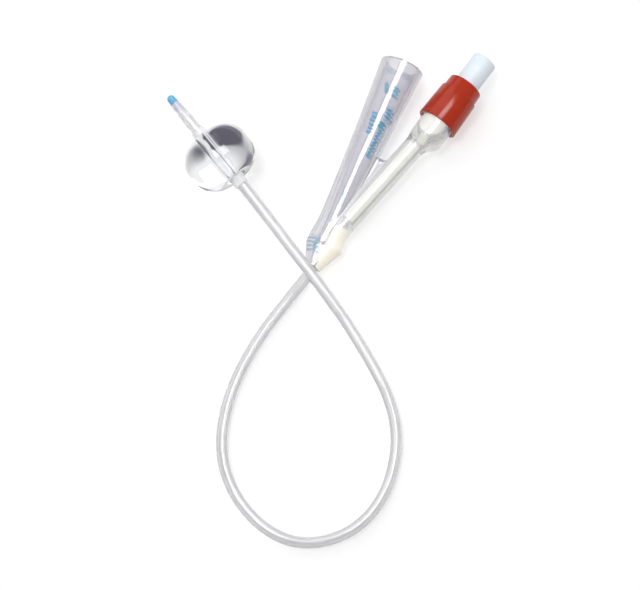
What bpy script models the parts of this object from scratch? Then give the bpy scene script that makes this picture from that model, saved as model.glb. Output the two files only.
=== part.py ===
"""A two-way balloon catheter of clear silicone, lying at rest on a table.

The origin is on the table, under the middle of the moulded pieces. +Z is up and +Y runs along
the drainage funnel towards its mouth. The flexible shaft leaves the Y moulding at its nose, makes
one loop over the table, passes over itself beside the nose and rises to the filled balloon and
the tip.
"""

import math

import bmesh
import bpy
from mathutils import Matrix, Vector

MM = 0.001

# Clearances
FIT = 0.3 * MM  # clear space where two pieces touch or one seats in another
CUT = 1.0 * MM  # how far a cutter runs past the face that it opens

# Shaft, 12 French
SHAFT_RADIUS = 2.0 * MM
SHAFT_POINT_SPACING = 8.0 * MM  # two diameters between the points of the tube's line
DRAIN_LUMEN_RADIUS = 1.1 * MM
DRAIN_LUMEN_OFFSET = 0.45 * MM  # to the side away from the inflation lumen
INFLATION_LUMEN_RADIUS = 0.35 * MM
INFLATION_LUMEN_OFFSET = 1.3 * MM

# The middle of the shaft on the table, from the nose of the moulding to the lower cuff of the balloon
SHAFT_ROUTE = (
    (18.8, -53.0, 3.4), (17.8, -56.6, 3.02), (16.6, -60.6, 2.6), (15.3, -65.6, 2.22),
    (13.7, -71.6, 2.02), (12.4, -77.7, 2.0), (11.1, -87.6, 2.0), (10.7, -97.6, 2.0),
    (11.4, -106.4, 2.0), (13.1, -114.4, 2.0), (15.9, -121.8, 2.0), (20.0, -128.4, 2.0),
    (25.8, -134.3, 2.0), (32.8, -138.9, 2.0), (40.9, -142.0, 2.0), (49.4, -142.8, 2.0),
    (57.1, -140.8, 2.0), (63.8, -136.5, 2.0), (69.2, -130.4, 2.0), (72.7, -122.6, 2.0),
    (74.1, -113.9, 2.0), (73.4, -105.1, 2.0), (71.2, -96.7, 2.0), (67.2, -88.7, 2.0),
    (61.6, -81.6, 2.0), (56.0, -76.3, 2.1), (49.2, -70.8, 2.75), (38.6, -63.2, 4.55),
    (29.8, -57.7, 6.25), (21.0, -52.4, 7.7), (10.7, -46.4, 8.82), (0.2, -40.15, 9.92),
)

# Y moulding. Distances count from its nose end along +Y, and side offsets are + towards the arm.
MOULDING_X = 20.6 * MM
MOULDING_Y = -48.4 * MM
MOULDING_LENGTH = 83.0 * MM
NOSE_OFFSET = -0.9 * MM
NOSE_LEAN = math.radians(12.0)  # the nose points away from the arm
NOSE_RADIUS = 2.5 * MM
NOSE_ROUNDING = 1.4  # above 1 the chamfer rounds over towards the shoulder
SHOULDER_AT = 8.5 * MM
SHOULDER_HALF_HEIGHT = 4.1 * MM
CROTCH_AT = 46.5 * MM
CROTCH_BLEND = 3.0 * MM  # from the crotch to where both branches are round
WEB_SHOULDER_HALF_THICKNESS = 3.6 * MM
WEB_CROTCH_HALF_THICKNESS = 2.5 * MM

# Drainage funnel
DRAIN_SHOULDER_RADIUS = 4.85 * MM
DRAIN_SHOULDER_OFFSET = -2.1 * MM
WAIST_AT = 20.0 * MM
WAIST_RADIUS = 5.05 * MM
WAIST_OFFSET = -1.0 * MM
WAIST_BORE_RADIUS = 2.3 * MM
MOUTH_RADIUS = 8.15 * MM
MOUTH_BORE_RADIUS = 5.95 * MM
MOUTH_EDGE = 0.4 * MM
FLARE_POWER = 1.3  # above 1 the funnel widens faster towards its mouth

# Inflation arm. Distances along its axis count from the fork, where it meets the drainage axis.
FORK_AT = 9.1 * MM
ARM_ANGLE = math.radians(18.5)
ARM_RADIUS = 4.1 * MM
ARM_SHOULDER_OFFSET = 2.5 * MM
ARM_BEND_AT = 16.4 * MM
ARM_BORE_RADIUS = 1.8 * MM
ARM_BORE_START = 12.0 * MM
BULB_START = 49.0 * MM
BULB_SHOULDER = 6.0 * MM
BULB_RADIUS = 6.25 * MM
BULB_OFFSET = 1.2 * MM  # the bulb's axis stands to the outer side of the arm's
BULB_ANGLE = math.radians(13.7)  # the bulb, the sleeve and the valve turn back a little

# Size sleeve, a stepped ring over the end of the arm
SLEEVE_START = 61.3 * MM
SLEEVE_LENGTH = 18.1 * MM
SLEEVE_RADIUS = 7.75 * MM
SLEEVE_STEP_RADIUS = 7.3 * MM
SLEEVE_RING_LENGTH = 4.6 * MM
SLEEVE_RING_RADIUS = 6.75 * MM
SLEEVE_RIM_RADIUS = 6.55 * MM
SLEEVE_RING_WALL = 0.75 * MM  # at the rim
SLEEVE_LIP = 1.0 * MM  # how far the sleeve stands past the end of the arm
SLEEVE_EDGE = 0.25 * MM

# Valve. Depths count inwards from its outer end, where the syringe goes in.
VALVE_END = 91.6 * MM  # from the fork
VALVE_HEAD_RADIUS = 4.65 * MM
VALVE_EDGE = 0.45 * MM
VALVE_BARREL_RADIUS = 4.0 * MM
VALVE_BARREL_DEPTH = 30.0 * MM
LUER_MOUTH_RADIUS = 2.15 * MM
LUER_TAPER = 0.03  # radius lost for each unit of depth, the standard 6 percent on diameter
LUER_DEPTH = 7.5 * MM
SEAT_BORE_RADIUS = 1.35 * MM
SEAT_BORE_LENGTH = 1.5 * MM
SEAT_CONE_LENGTH = 1.2 * MM
CHAMBER_RADIUS = 2.6 * MM

# Plunger, seal and spring inside the valve
PLUNGER_RECESS = 2.5 * MM
STEM_RADIUS = 1.0 * MM
COLLAR_RADIUS = 2.1 * MM
COLLAR_LENGTH = 1.4 * MM
SPIGOT_RADIUS = 0.8 * MM
SPIGOT_LENGTH = 3.0 * MM
FLUTES = 3
FLUTE_WIDTH = 0.6 * MM
FLUTE_DEPTH = 0.4 * MM
SEAL_RADIUS = 2.05 * MM
SEAL_THICKNESS = 0.8 * MM
SPRING_RADIUS = 1.6 * MM  # to the middle of the wire
SPRING_WIRE_RADIUS = 0.18 * MM
SPRING_TURNS = 6
SPRING_LENGTH = 8.6 * MM  # from wire middle to wire middle
SPRING_END_TURN = 0.8  # share of a turn that lies flat at each end

# Retainer, the pierced plug that closes the barrel behind the spring
RETAINER_BORE_RADIUS = 0.8 * MM
RETAINER_FLANGE_RADIUS = 3.7 * MM
RETAINER_FLANGE_LENGTH = 1.2 * MM
RETAINER_TAIL_RADIUS = 2.5 * MM
RETAINER_TAIL_END_RADIUS = 1.5 * MM
RETAINER_TAIL_LENGTH = 4.8 * MM
SOCKET_SPACE = 2.6 * MM  # between the retainer's flange and the cone of the socket
SOCKET_CONE_LENGTH = 4.0 * MM

# Balloon and tip, on one straight line that rises from the crossing. Distances are + to the tip.
BALLOON_X = -25.9 * MM
BALLOON_Y = -25.6 * MM
BALLOON_LIFT = 0.05 * MM  # its middle is a little higher than its radius because it leans
BALLOON_HEADING = math.radians(151.7)
BALLOON_RISE = math.radians(5.3)
BALLOON_RADIUS = 12.7 * MM
BALLOON_HALF_LENGTH = 10.6 * MM
BALLOON_SQUARENESS = 2.5  # 2 is an ellipse, and more is fuller at the ends
BALLOON_DIMPLE = 1.1 * MM
BALLOON_DIMPLE_RADIUS = 2.6 * MM
BALLOON_WALL = 0.5 * MM
CUFF_LENGTH = 3.4 * MM
CUFF_WALL = 0.5 * MM
SHAFT_END = 10.8 * MM  # hidden under the upper cuff
TIP_END = 29.6 * MM
TIP_TAPER_START = 22.9 * MM
TIP_TAPER_RADIUS = 1.6 * MM
EYE_LENGTH = 4.2 * MM
EYE_WIDTH = 1.7 * MM
EYE_LEFT_AT = 17.6 * MM
EYE_RIGHT_AT = 20.2 * MM
CAP_LENGTH = 3.2 * MM
CAP_RADIUS = 1.5 * MM
CAP_SPIGOT_LENGTH = 0.6 * MM

# Facets
DRAIN_SIDE_FACETS = 30
ARM_SIDE_FACETS = 20
CROTCH_FACETS = 6
TURNED_FACETS = 32
SMALL_FACETS = 20
SPRING_FACETS = 14
OUTLINE_SAMPLES = 240
OUTLINE_SHARPNESS = 9.0

# Values that follow from the sizes above
ARM_END = SLEEVE_START + SLEEVE_LENGTH - SLEEVE_LIP
SOCKET_RADIUS = VALVE_BARREL_RADIUS + FIT
SEAT_AT = LUER_DEPTH + SEAT_BORE_LENGTH
SEAL_AT = SEAT_AT + SEAT_CONE_LENGTH * (SEAL_RADIUS - SEAT_BORE_RADIUS) / (
    CHAMBER_RADIUS - SEAT_BORE_RADIUS
) + FIT
COLLAR_AT = SEAL_AT + SEAL_THICKNESS + FIT
SPRING_AT = COLLAR_AT + COLLAR_LENGTH + FIT + SPRING_WIRE_RADIUS
RETAINER_AT = SPRING_AT + SPRING_LENGTH + SPRING_WIRE_RADIUS + FIT

CLEAR_SILICONE = {"colour": (0.86, 0.87, 0.90), "roughness": 0.12, "alpha": 0.35}
BALLOON_SILICONE = {"colour": (0.90, 0.91, 0.93), "roughness": 0.05, "alpha": 0.25}
TIP_SILICONE = {"colour": (0.72, 0.74, 0.90), "roughness": 0.15, "alpha": 0.5}
BLUE_SILICONE = {"colour": (0.10, 0.38, 0.72), "roughness": 0.25}
RED_PLASTIC = {"colour": (0.60, 0.045, 0.015), "roughness": 0.32}
WHITE_PLASTIC = {"colour": (0.80, 0.85, 0.90), "roughness": 0.35}
SEAL_RUBBER = {"colour": (0.06, 0.06, 0.07), "roughness": 0.55}
SPRING_STEEL = {"colour": (0.62, 0.62, 0.64), "roughness": 0.3, "metallic": 1.0}


def clear_scene():
    for thing in list(bpy.data.objects):
        bpy.data.objects.remove(thing, do_unlink=True)


def dress(thing, colour, roughness, metallic=0.0, alpha=1.0):
    """Gives an object its own plain finish."""
    material = bpy.data.materials.new(thing.name + "_finish")
    material.use_nodes = True
    shader = material.node_tree.nodes["Principled BSDF"]
    shader.inputs["Base Color"].default_value = (*colour, 1.0)
    shader.inputs["Roughness"].default_value = roughness
    shader.inputs["Metallic"].default_value = metallic
    shader.inputs["Alpha"].default_value = alpha
    thing.data.materials.append(material)


def frame(name, location, rotation, parent=None):
    """An empty that carries the pieces built in its own axes."""
    empty = bpy.data.objects.new(name, None)
    bpy.context.collection.objects.link(empty)
    empty.parent = parent
    empty.location = location
    empty.rotation_euler = rotation
    return empty


def put(thing, parent=None, location=(0.0, 0.0, 0.0)):
    bpy.context.collection.objects.link(thing)
    thing.parent = parent
    thing.location = location
    return thing


def mesh_object(name, shape):
    """Turns a finished bmesh into an object whose round faces are shaded smooth."""
    bmesh.ops.recalc_face_normals(shape, faces=shape.faces)
    mesh = bpy.data.meshes.new(name)
    shape.to_mesh(mesh)
    shape.free()
    mesh.shade_smooth()
    mesh.set_sharp_from_angle(angle=math.radians(35))
    return bpy.data.objects.new(name, mesh)


def turned(name, profile, facets=TURNED_FACETS):
    """Turns a profile of (radius, height) points round Z.

    A profile that starts and ends on the axis makes a solid, and any other is closed into a ring.
    """
    shape = bmesh.new()
    corners = [shape.verts.new((radius, 0.0, height)) for radius, height in profile]
    edges = [shape.edges.new(pair) for pair in zip(corners, corners[1:])]
    if profile[0][0] > 0.0:
        edges.append(shape.edges.new((corners[-1], corners[0])))
    bmesh.ops.spin(
        shape,
        geom=corners + edges,
        axis=(0.0, 0.0, 1.0),
        cent=(0.0, 0.0, 0.0),
        steps=facets,
        angle=math.tau,
        use_merge=True,
    )
    bmesh.ops.remove_doubles(shape, verts=shape.verts, dist=1e-7)
    return mesh_object(name, shape)


def cut_away(body, cutter):
    """Subtracts a cutter, which stays as a hidden wire guide."""
    cutter.hide_render = True
    cutter.display_type = "WIRE"
    step = body.modifiers.new(cutter.name, "BOOLEAN")
    step.operation = "DIFFERENCE"
    step.solver = "EXACT"
    step.object = cutter


def mix(first, second, share):
    return first + (second - first) * share


def ramp(value, start, end):
    """0 before start, 1 after end, and a smooth rise between."""
    share = min(1.0, max(0.0, (value - start) / (end - start)))
    return share * share * (3.0 - 2.0 * share)


def bulb_frame():
    """Where the bulb's axis, run back to the arm's start, meets the moulding's plane."""
    bulb_at = BULB_START + BULB_SHOULDER
    side = bulb_at * (math.sin(ARM_ANGLE) - math.sin(BULB_ANGLE)) + BULB_OFFSET * math.cos(ARM_ANGLE)
    at = bulb_at * (math.cos(ARM_ANGLE) - math.cos(BULB_ANGLE)) - BULB_OFFSET * math.sin(ARM_ANGLE)
    return side, FORK_AT + at


def arm_station(along):
    """Side, distance and lean of a cross plane of the arm, which turns into the bulb's axis."""
    share = ramp(along, BULB_START, BULB_START + BULB_SHOULDER)
    side, at = bulb_frame()
    return (
        mix(along * math.sin(ARM_ANGLE), side + along * math.sin(BULB_ANGLE), share),
        mix(FORK_AT + along * math.cos(ARM_ANGLE), at + along * math.cos(BULB_ANGLE), share),
        mix(ARM_ANGLE, BULB_ANGLE, share),
    )


def drain_section(at):
    """Side offset, half width and half height of the drainage tube at a distance."""
    if at < WAIST_AT:
        share = ramp(at, SHOULDER_AT, WAIST_AT)
        offset = mix(DRAIN_SHOULDER_OFFSET, WAIST_OFFSET, share)
        half_width = mix(DRAIN_SHOULDER_RADIUS, WAIST_RADIUS, share)
    else:
        flare = (at - WAIST_AT) / (MOULDING_LENGTH - WAIST_AT)
        offset = WAIST_OFFSET * (1.0 - flare)
        half_width = mix(WAIST_RADIUS, MOUTH_RADIUS, flare**FLARE_POWER)
    half_height = mix(SHOULDER_HALF_HEIGHT, half_width, ramp(at, SHOULDER_AT, CROTCH_AT))
    return offset, half_width, half_height


def arm_section(at):
    """The same for the arm, where the cross planes of the trunk cut it."""
    share = ramp(at, SHOULDER_AT, ARM_BEND_AT)
    straight = (at - FORK_AT) * math.tan(ARM_ANGLE)
    offset = mix(ARM_SHOULDER_OFFSET, straight, share)
    half_width = ARM_RADIUS / math.cos(ARM_ANGLE * share)
    half_height = mix(SHOULDER_HALF_HEIGHT, ARM_RADIUS, share)
    return offset, half_width, half_height


def way_out(start, section, angle):
    """How far a ray from a point on the middle line of a cross plane runs to leave an oval."""
    offset, half_width, half_height = section
    across, up = math.cos(angle), math.sin(angle)
    square = (across / half_width) ** 2 + (up / half_height) ** 2
    linear = (start - offset) * across / half_width**2
    rest = ((start - offset) / half_width) ** 2 - 1.0
    inside = linear * linear - square * rest
    if inside < 0.0:
        return 0.0
    return max(0.0, (math.sqrt(inside) - linear) / square)


def even_points(points, parts):
    """Splits a line of points into parts of one length, and leaves out its last point."""
    lengths = [0.0]
    for before, after in zip(points, points[1:]):
        lengths.append(lengths[-1] + (after - before).length)
    chosen = []
    step = 0
    for part in range(parts):
        wanted = lengths[-1] * part / parts
        while lengths[step + 1] < wanted:
            step += 1
        share = (wanted - lengths[step]) / (lengths[step + 1] - lengths[step])
        chosen.append(points[step].lerp(points[step + 1], share))
    return chosen


def trunk_outline(at):
    """The two-lobed outline of the trunk, from the top of its valley round by the drainage side."""
    drain, arm = drain_section(at), arm_section(at)
    thinning = ramp(at, SHOULDER_AT, CROTCH_AT)
    web = mix(WEB_SHOULDER_HALF_THICKNESS, WEB_CROTCH_HALF_THICKNESS, thinning)
    middle = (drain[0] + drain[1] + arm[0] - arm[1]) / 2.0
    span = (arm[0] - drain[0]) / 2.0

    def edge(angle):
        across, up = abs(math.cos(angle)), abs(math.sin(angle))
        web_way = min(web / max(up, 1e-6), span / max(across, 1e-6))
        ways = (way_out(middle, drain, angle), way_out(middle, arm, angle), web_way)
        reach = sum(way**OUTLINE_SHARPNESS for way in ways) ** (1.0 / OUTLINE_SHARPNESS)
        return Vector((middle + reach * math.cos(angle), reach * math.sin(angle)))

    turn = [math.pi * step / OUTLINE_SAMPLES for step in range(OUTLINE_SAMPLES + 1)]
    drain_side = [edge(math.pi * 0.5 + angle) for angle in turn]
    arm_side = [edge(math.pi * 1.5 + angle) for angle in turn]
    return even_points(drain_side, DRAIN_SIDE_FACETS) + even_points(arm_side, ARM_SIDE_FACETS)


def nose_outline(share):
    """The chamfered end, from the round nose at share 0 to the trunk's shoulder at share 1."""
    drain_side = [0.5 + step / DRAIN_SIDE_FACETS for step in range(DRAIN_SIDE_FACETS)]
    arm_side = [1.5 + step / ARM_SIDE_FACETS for step in range(ARM_SIDE_FACETS)]
    swell = 1.0 - (1.0 - share) ** NOSE_ROUNDING
    outline = []
    for turn, shoulder in zip(drain_side + arm_side, trunk_outline(SHOULDER_AT)):
        angle = math.pi * turn
        nose = Vector((NOSE_OFFSET + NOSE_RADIUS * math.cos(angle), NOSE_RADIUS * math.sin(angle)))
        outline.append(nose.lerp(shoulder, swell))
    return outline


def branch_outline(radius, side_facets, facing):
    """A circle whose short arc, between its last and first points, faces the other branch."""
    facets = side_facets + CROTCH_FACETS
    first = facing + math.pi * CROTCH_FACETS / facets
    return [
        Vector((radius * math.cos(angle), radius * math.sin(angle)))
        for angle in (first + math.tau * step / facets for step in range(facets))
    ]


def ring(shape, outline, side, at, lean=0.0):
    """Adds an outline on a cross plane that is turned by lean towards the arm."""
    return [
        shape.verts.new((side + p.x * math.cos(lean), at - p.x * math.sin(lean), p.y))
        for p in outline
    ]


def join_rings(shape, rings):
    """Skins rings of equal count, one after another."""
    for first, second in zip(rings, rings[1:]):
        for step in range(len(first)):
            after = (step + 1) % len(first)
            shape.faces.new((first[step], first[after], second[after], second[step]))


def trunk_rings(shape):
    rings = []
    for share in (0.0, 0.08, 0.3, 0.6, 0.85):
        middle = NOSE_OFFSET * (1.0 - share)
        outline = [p - Vector((middle, 0.0)) for p in nose_outline(share)]
        rings.append(ring(shape, outline, middle, SHOULDER_AT * share, NOSE_LEAN * (1.0 - share)))
    steps = 9
    for step in range(steps + 1):
        at = mix(SHOULDER_AT, CROTCH_AT, step / steps)
        rings.append(ring(shape, trunk_outline(at), 0.0, at))
    return rings


def drain_rings(shape, crotch):
    """From the crotch to the rounded rim of the drainage mouth."""
    rings = [crotch]
    stations = [mix(CROTCH_AT + CROTCH_BLEND, MOULDING_LENGTH - MOUTH_EDGE, n / 6) for n in range(7)]
    for at in stations:
        offset, radius, _ = drain_section(at)
        rings.append(ring(shape, branch_outline(radius, DRAIN_SIDE_FACETS, 0.0), offset, at))
    rim = branch_outline(MOUTH_RADIUS - MOUTH_EDGE, DRAIN_SIDE_FACETS, 0.0)
    rings.append(ring(shape, rim, 0.0, MOULDING_LENGTH))
    return rings


def arm_rings(shape, crotch):
    """From the crotch over the bulb and the neck that carries the size sleeve."""
    step_at = SLEEVE_START + SLEEVE_LENGTH - SLEEVE_RING_LENGTH - FIT
    neck = SLEEVE_RIM_RADIUS - SLEEVE_RING_WALL - FIT
    first = (CROTCH_AT + CROTCH_BLEND - FORK_AT) / math.cos(ARM_ANGLE)
    stations = [(first, ARM_RADIUS)]
    for n in range(7):
        swell = ramp(n, 0, 6)
        stations.append((BULB_START + BULB_SHOULDER * n / 6, mix(ARM_RADIUS, BULB_RADIUS, swell)))
    stations += [(step_at, BULB_RADIUS), (step_at, neck), (ARM_END, neck)]
    rings = [crotch]
    for along, radius in stations:
        outline = branch_outline(radius, ARM_SIDE_FACETS, math.pi)
        rings.append(ring(shape, outline, *arm_station(along)))
    return rings


def moulding_skin():
    """The closed outer skin of the Y moulding: one trunk that parts into two branches."""
    shape = bmesh.new()
    trunk = trunk_rings(shape)
    join_rings(shape, trunk)
    top, bottom = trunk[-1][0], trunk[-1][DRAIN_SIDE_FACETS]
    column = []
    for step in range(1, CROTCH_FACETS):
        column.append(shape.verts.new(bottom.co.lerp(top.co, step / CROTCH_FACETS)))
    drain_side = trunk[-1][: DRAIN_SIDE_FACETS + 1]
    arm_side = trunk[-1][DRAIN_SIDE_FACETS:]
    drain = drain_rings(shape, drain_side + column)
    arm = arm_rings(shape, arm_side + [top] + column[::-1])
    join_rings(shape, drain)
    join_rings(shape, arm)
    for end in (trunk[0], drain[-1], arm[-1]):
        shape.faces.new(end)
    return mesh_object("y_connector", shape)


def bore(name, stations, facets):
    """A cutter through round stations of (radius, side, distance, lean)."""
    shape = bmesh.new()
    turn = [math.tau * step / facets for step in range(facets)]
    rings = []
    for radius, side, at, lean in stations:
        outline = [Vector((radius * math.cos(angle), radius * math.sin(angle))) for angle in turn]
        rings.append(ring(shape, outline, side, at, lean))
    join_rings(shape, rings)
    shape.faces.new(rings[0])
    shape.faces.new(rings[-1])
    return mesh_object(name, shape)


def nose_point(sideways, inwards):
    """A point beside the shaft's middle line where it enters the nose."""
    along, across = Vector((math.sin(NOSE_LEAN), math.cos(NOSE_LEAN))), math.cos(NOSE_LEAN)
    start = Vector((NOSE_OFFSET + sideways * across, -sideways * math.sin(NOSE_LEAN)))
    return start + along * inwards


def drainage_bore():
    outside = nose_point(-DRAIN_LUMEN_OFFSET, -CUT)
    inside = nose_point(-DRAIN_LUMEN_OFFSET, CUT)
    shoulder = mix(DRAIN_LUMEN_RADIUS, WAIST_BORE_RADIUS, 0.4)
    stations = [
        (DRAIN_LUMEN_RADIUS, outside.x, outside.y, NOSE_LEAN),
        (DRAIN_LUMEN_RADIUS, inside.x, inside.y, NOSE_LEAN),
        (shoulder, drain_section(SHOULDER_AT)[0], SHOULDER_AT, 0.0),
    ]
    for n in range(7):
        at = mix(WAIST_AT, MOULDING_LENGTH, n / 6)
        radius = mix(WAIST_BORE_RADIUS, MOUTH_BORE_RADIUS, n / 6)
        stations.append((radius, drain_section(at)[0], at, 0.0))
    flare = (MOUTH_BORE_RADIUS - WAIST_BORE_RADIUS) / (MOULDING_LENGTH - WAIST_AT)
    stations.append((MOUTH_BORE_RADIUS + CUT * flare, 0.0, MOULDING_LENGTH + CUT, 0.0))
    return bore("drainage_bore", stations, DRAIN_SIDE_FACETS + CROTCH_FACETS)


def inflation_bore():
    outside = nose_point(INFLATION_LUMEN_OFFSET, -CUT)
    inside = nose_point(INFLATION_LUMEN_OFFSET, CUT)
    stations = [
        (INFLATION_LUMEN_RADIUS, outside.x, outside.y, NOSE_LEAN),
        (INFLATION_LUMEN_RADIUS, inside.x, inside.y, NOSE_LEAN),
        (INFLATION_LUMEN_RADIUS * 1.5, ARM_SHOULDER_OFFSET, SHOULDER_AT, ARM_ANGLE),
        (INFLATION_LUMEN_RADIUS * 2.0, *arm_station(ARM_BORE_START)),
        (INFLATION_LUMEN_RADIUS * 2.0, *arm_station(ARM_BORE_START + CUT)),
    ]
    return bore("inflation_bore", stations, SMALL_FACETS)


def valve_socket():
    """The arm's own bore and the cavity at its end that holds the valve."""
    floor = VALVE_END - VALVE_BARREL_DEPTH - FIT - RETAINER_FLANGE_LENGTH - SOCKET_SPACE
    cone = floor - SOCKET_CONE_LENGTH
    narrow = [ARM_BORE_START, BULB_START, mix(BULB_START, cone, 0.4), mix(BULB_START, cone, 0.7), cone]
    stations = [(ARM_BORE_RADIUS, *arm_station(along)) for along in narrow]
    for along in (floor, SLEEVE_START, ARM_END + CUT):
        stations.append((SOCKET_RADIUS, *arm_station(along)))
    return bore("valve_socket", stations, TURNED_FACETS)


def moulding_pose():
    """Height and slopes at which the moulding rests on its shoulder, its mouth and its sleeve."""
    sleeve_side, sleeve_at, _ = arm_station(SLEEVE_START)
    shoulder_height = max(point.y for point in trunk_outline(SHOULDER_AT))
    touching = Matrix(
        (
            (1.0, SHOULDER_AT, DRAIN_SHOULDER_OFFSET),
            (1.0, MOULDING_LENGTH - MOUTH_EDGE, 0.0),
            (1.0, sleeve_at, sleeve_side),
        )
    )
    heights = Vector((shoulder_height, MOUTH_RADIUS, SLEEVE_RADIUS))
    height, rise, roll = touching.inverted() @ heights
    return height, math.atan(rise), -math.atan(roll)


def make_y_connector(moulding):
    connector = put(moulding_skin(), moulding)
    for cutter in (drainage_bore(), inflation_bore(), valve_socket()):
        cut_away(connector, put(cutter, moulding))
    dress(connector, **CLEAR_SILICONE)


def make_size_sleeve(arm):
    bore_radius = BULB_RADIUS + FIT
    ring_bore = SLEEVE_RIM_RADIUS - SLEEVE_RING_WALL
    step = SLEEVE_LENGTH - SLEEVE_RING_LENGTH
    profile = [
        (bore_radius, 0.0),
        (SLEEVE_RADIUS - SLEEVE_EDGE, 0.0),
        (SLEEVE_RADIUS, SLEEVE_EDGE),
        (SLEEVE_STEP_RADIUS, step - SLEEVE_EDGE),
        (SLEEVE_STEP_RADIUS - SLEEVE_EDGE, step),
        (SLEEVE_RING_RADIUS, step),
        (SLEEVE_RIM_RADIUS, SLEEVE_LENGTH - SLEEVE_EDGE),
        (SLEEVE_RIM_RADIUS - SLEEVE_EDGE, SLEEVE_LENGTH),
        (ring_bore, SLEEVE_LENGTH),
        (ring_bore, step),
        (bore_radius, step),
    ]
    sleeve = put(turned("size_sleeve", profile), arm, (0.0, 0.0, SLEEVE_START))
    dress(sleeve, **RED_PLASTIC)


def make_valve_body(valve):
    """The housing, with its luer socket, the plunger's seat and the spring chamber."""
    head_depth = VALVE_END - ARM_END - FIT
    profile = [
        (LUER_MOUTH_RADIUS, 0.0),
        (VALVE_HEAD_RADIUS - VALVE_EDGE, 0.0),
        (VALVE_HEAD_RADIUS - VALVE_EDGE * 0.3, VALVE_EDGE * 0.3),
        (VALVE_HEAD_RADIUS, VALVE_EDGE),
        (VALVE_HEAD_RADIUS, head_depth),
        (VALVE_BARREL_RADIUS, head_depth),
        (VALVE_BARREL_RADIUS, VALVE_BARREL_DEPTH - VALVE_EDGE),
        (VALVE_BARREL_RADIUS - VALVE_EDGE, VALVE_BARREL_DEPTH),
        (CHAMBER_RADIUS, VALVE_BARREL_DEPTH),
        (CHAMBER_RADIUS, SEAT_AT + SEAT_CONE_LENGTH),
        (SEAT_BORE_RADIUS, SEAT_AT),
        (SEAT_BORE_RADIUS, LUER_DEPTH),
        (LUER_MOUTH_RADIUS - LUER_TAPER * LUER_DEPTH, LUER_DEPTH),
    ]
    dress(put(turned("valve_body", profile), valve), **WHITE_PLASTIC)


def make_valve_plunger(valve):
    """A fluted stem, the collar that carries the seal, and the spigot inside the spring."""
    profile = [
        (0.0, PLUNGER_RECESS),
        (STEM_RADIUS, PLUNGER_RECESS),
        (STEM_RADIUS, COLLAR_AT),
        (COLLAR_RADIUS, COLLAR_AT),
        (COLLAR_RADIUS, COLLAR_AT + COLLAR_LENGTH),
        (SPIGOT_RADIUS, COLLAR_AT + COLLAR_LENGTH),
        (SPIGOT_RADIUS, COLLAR_AT + COLLAR_LENGTH + SPIGOT_LENGTH),
        (0.0, COLLAR_AT + COLLAR_LENGTH + SPIGOT_LENGTH),
    ]
    plunger = put(turned("valve_plunger", profile, SMALL_FACETS), valve)
    length = SEAL_AT - PLUNGER_RECESS
    for number in range(FLUTES):
        shape = bmesh.new()
        bmesh.ops.create_cube(shape, size=1.0)
        bmesh.ops.scale(shape, vec=(STEM_RADIUS, FLUTE_WIDTH, length + CUT), verts=shape.verts)
        reach = STEM_RADIUS * 1.5 - FLUTE_DEPTH
        middle = PLUNGER_RECESS + (length - CUT) / 2.0
        bmesh.ops.translate(shape, vec=(reach, 0.0, middle), verts=shape.verts)
        turn = Matrix.Rotation(math.tau * number / FLUTES, 4, "Z")
        bmesh.ops.transform(shape, matrix=turn, verts=shape.verts)
        cut_away(plunger, put(mesh_object(f"flute_{number + 1}", shape), valve))
    dress(plunger, **WHITE_PLASTIC)


def make_valve_seal(valve):
    inner = STEM_RADIUS + FIT
    profile = [
        (inner, SEAL_AT),
        (SEAL_RADIUS, SEAL_AT),
        (SEAL_RADIUS, SEAL_AT + SEAL_THICKNESS),
        (inner, SEAL_AT + SEAL_THICKNESS),
    ]
    dress(put(turned("valve_seal", profile, SMALL_FACETS), valve), **SEAL_RUBBER)


def make_valve_spring(valve):
    """A compression spring of round wire whose first and last turns lie flat."""
    line = bpy.data.curves.new("valve_spring", "CURVE")
    line.dimensions = "3D"
    line.bevel_depth = SPRING_WIRE_RADIUS
    line.bevel_resolution = 1
    line.use_fill_caps = True
    spline = line.splines.new("POLY")
    steps = SPRING_TURNS * SPRING_FACETS
    spline.points.add(steps)
    flat = SPRING_END_TURN / SPRING_TURNS
    pitch_turn = 2.0 * SPRING_WIRE_RADIUS + FIT
    for step in range(steps + 1):
        share = step / steps
        rise = min(1.0, max(0.0, (share - flat) / (1.0 - 2.0 * flat)))
        ends = pitch_turn * (min(share, flat) / flat + max(0.0, share - 1.0 + flat) / flat)
        height = SPRING_AT + ends + rise * (SPRING_LENGTH - 2.0 * pitch_turn)
        angle = math.tau * SPRING_TURNS * share
        side, front = SPRING_RADIUS * math.cos(angle), SPRING_RADIUS * math.sin(angle)
        spline.points[step].co = (side, front, height, 1.0)
    spring = put(bpy.data.objects.new("valve_spring", line), valve)
    dress(spring, **SPRING_STEEL)


def make_valve_retainer(valve):
    plug = CHAMBER_RADIUS - FIT
    flange = VALVE_BARREL_DEPTH + FIT
    tail = flange + RETAINER_FLANGE_LENGTH
    profile = [
        (RETAINER_BORE_RADIUS, RETAINER_AT),
        (plug, RETAINER_AT),
        (plug, flange),
        (RETAINER_FLANGE_RADIUS, flange),
        (RETAINER_FLANGE_RADIUS, tail),
        (RETAINER_TAIL_RADIUS, tail),
        (RETAINER_TAIL_END_RADIUS, tail + RETAINER_TAIL_LENGTH),
        (RETAINER_BORE_RADIUS, tail + RETAINER_TAIL_LENGTH),
    ]
    dress(put(turned("valve_retainer", profile, SMALL_FACETS), valve), **WHITE_PLASTIC)


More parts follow.
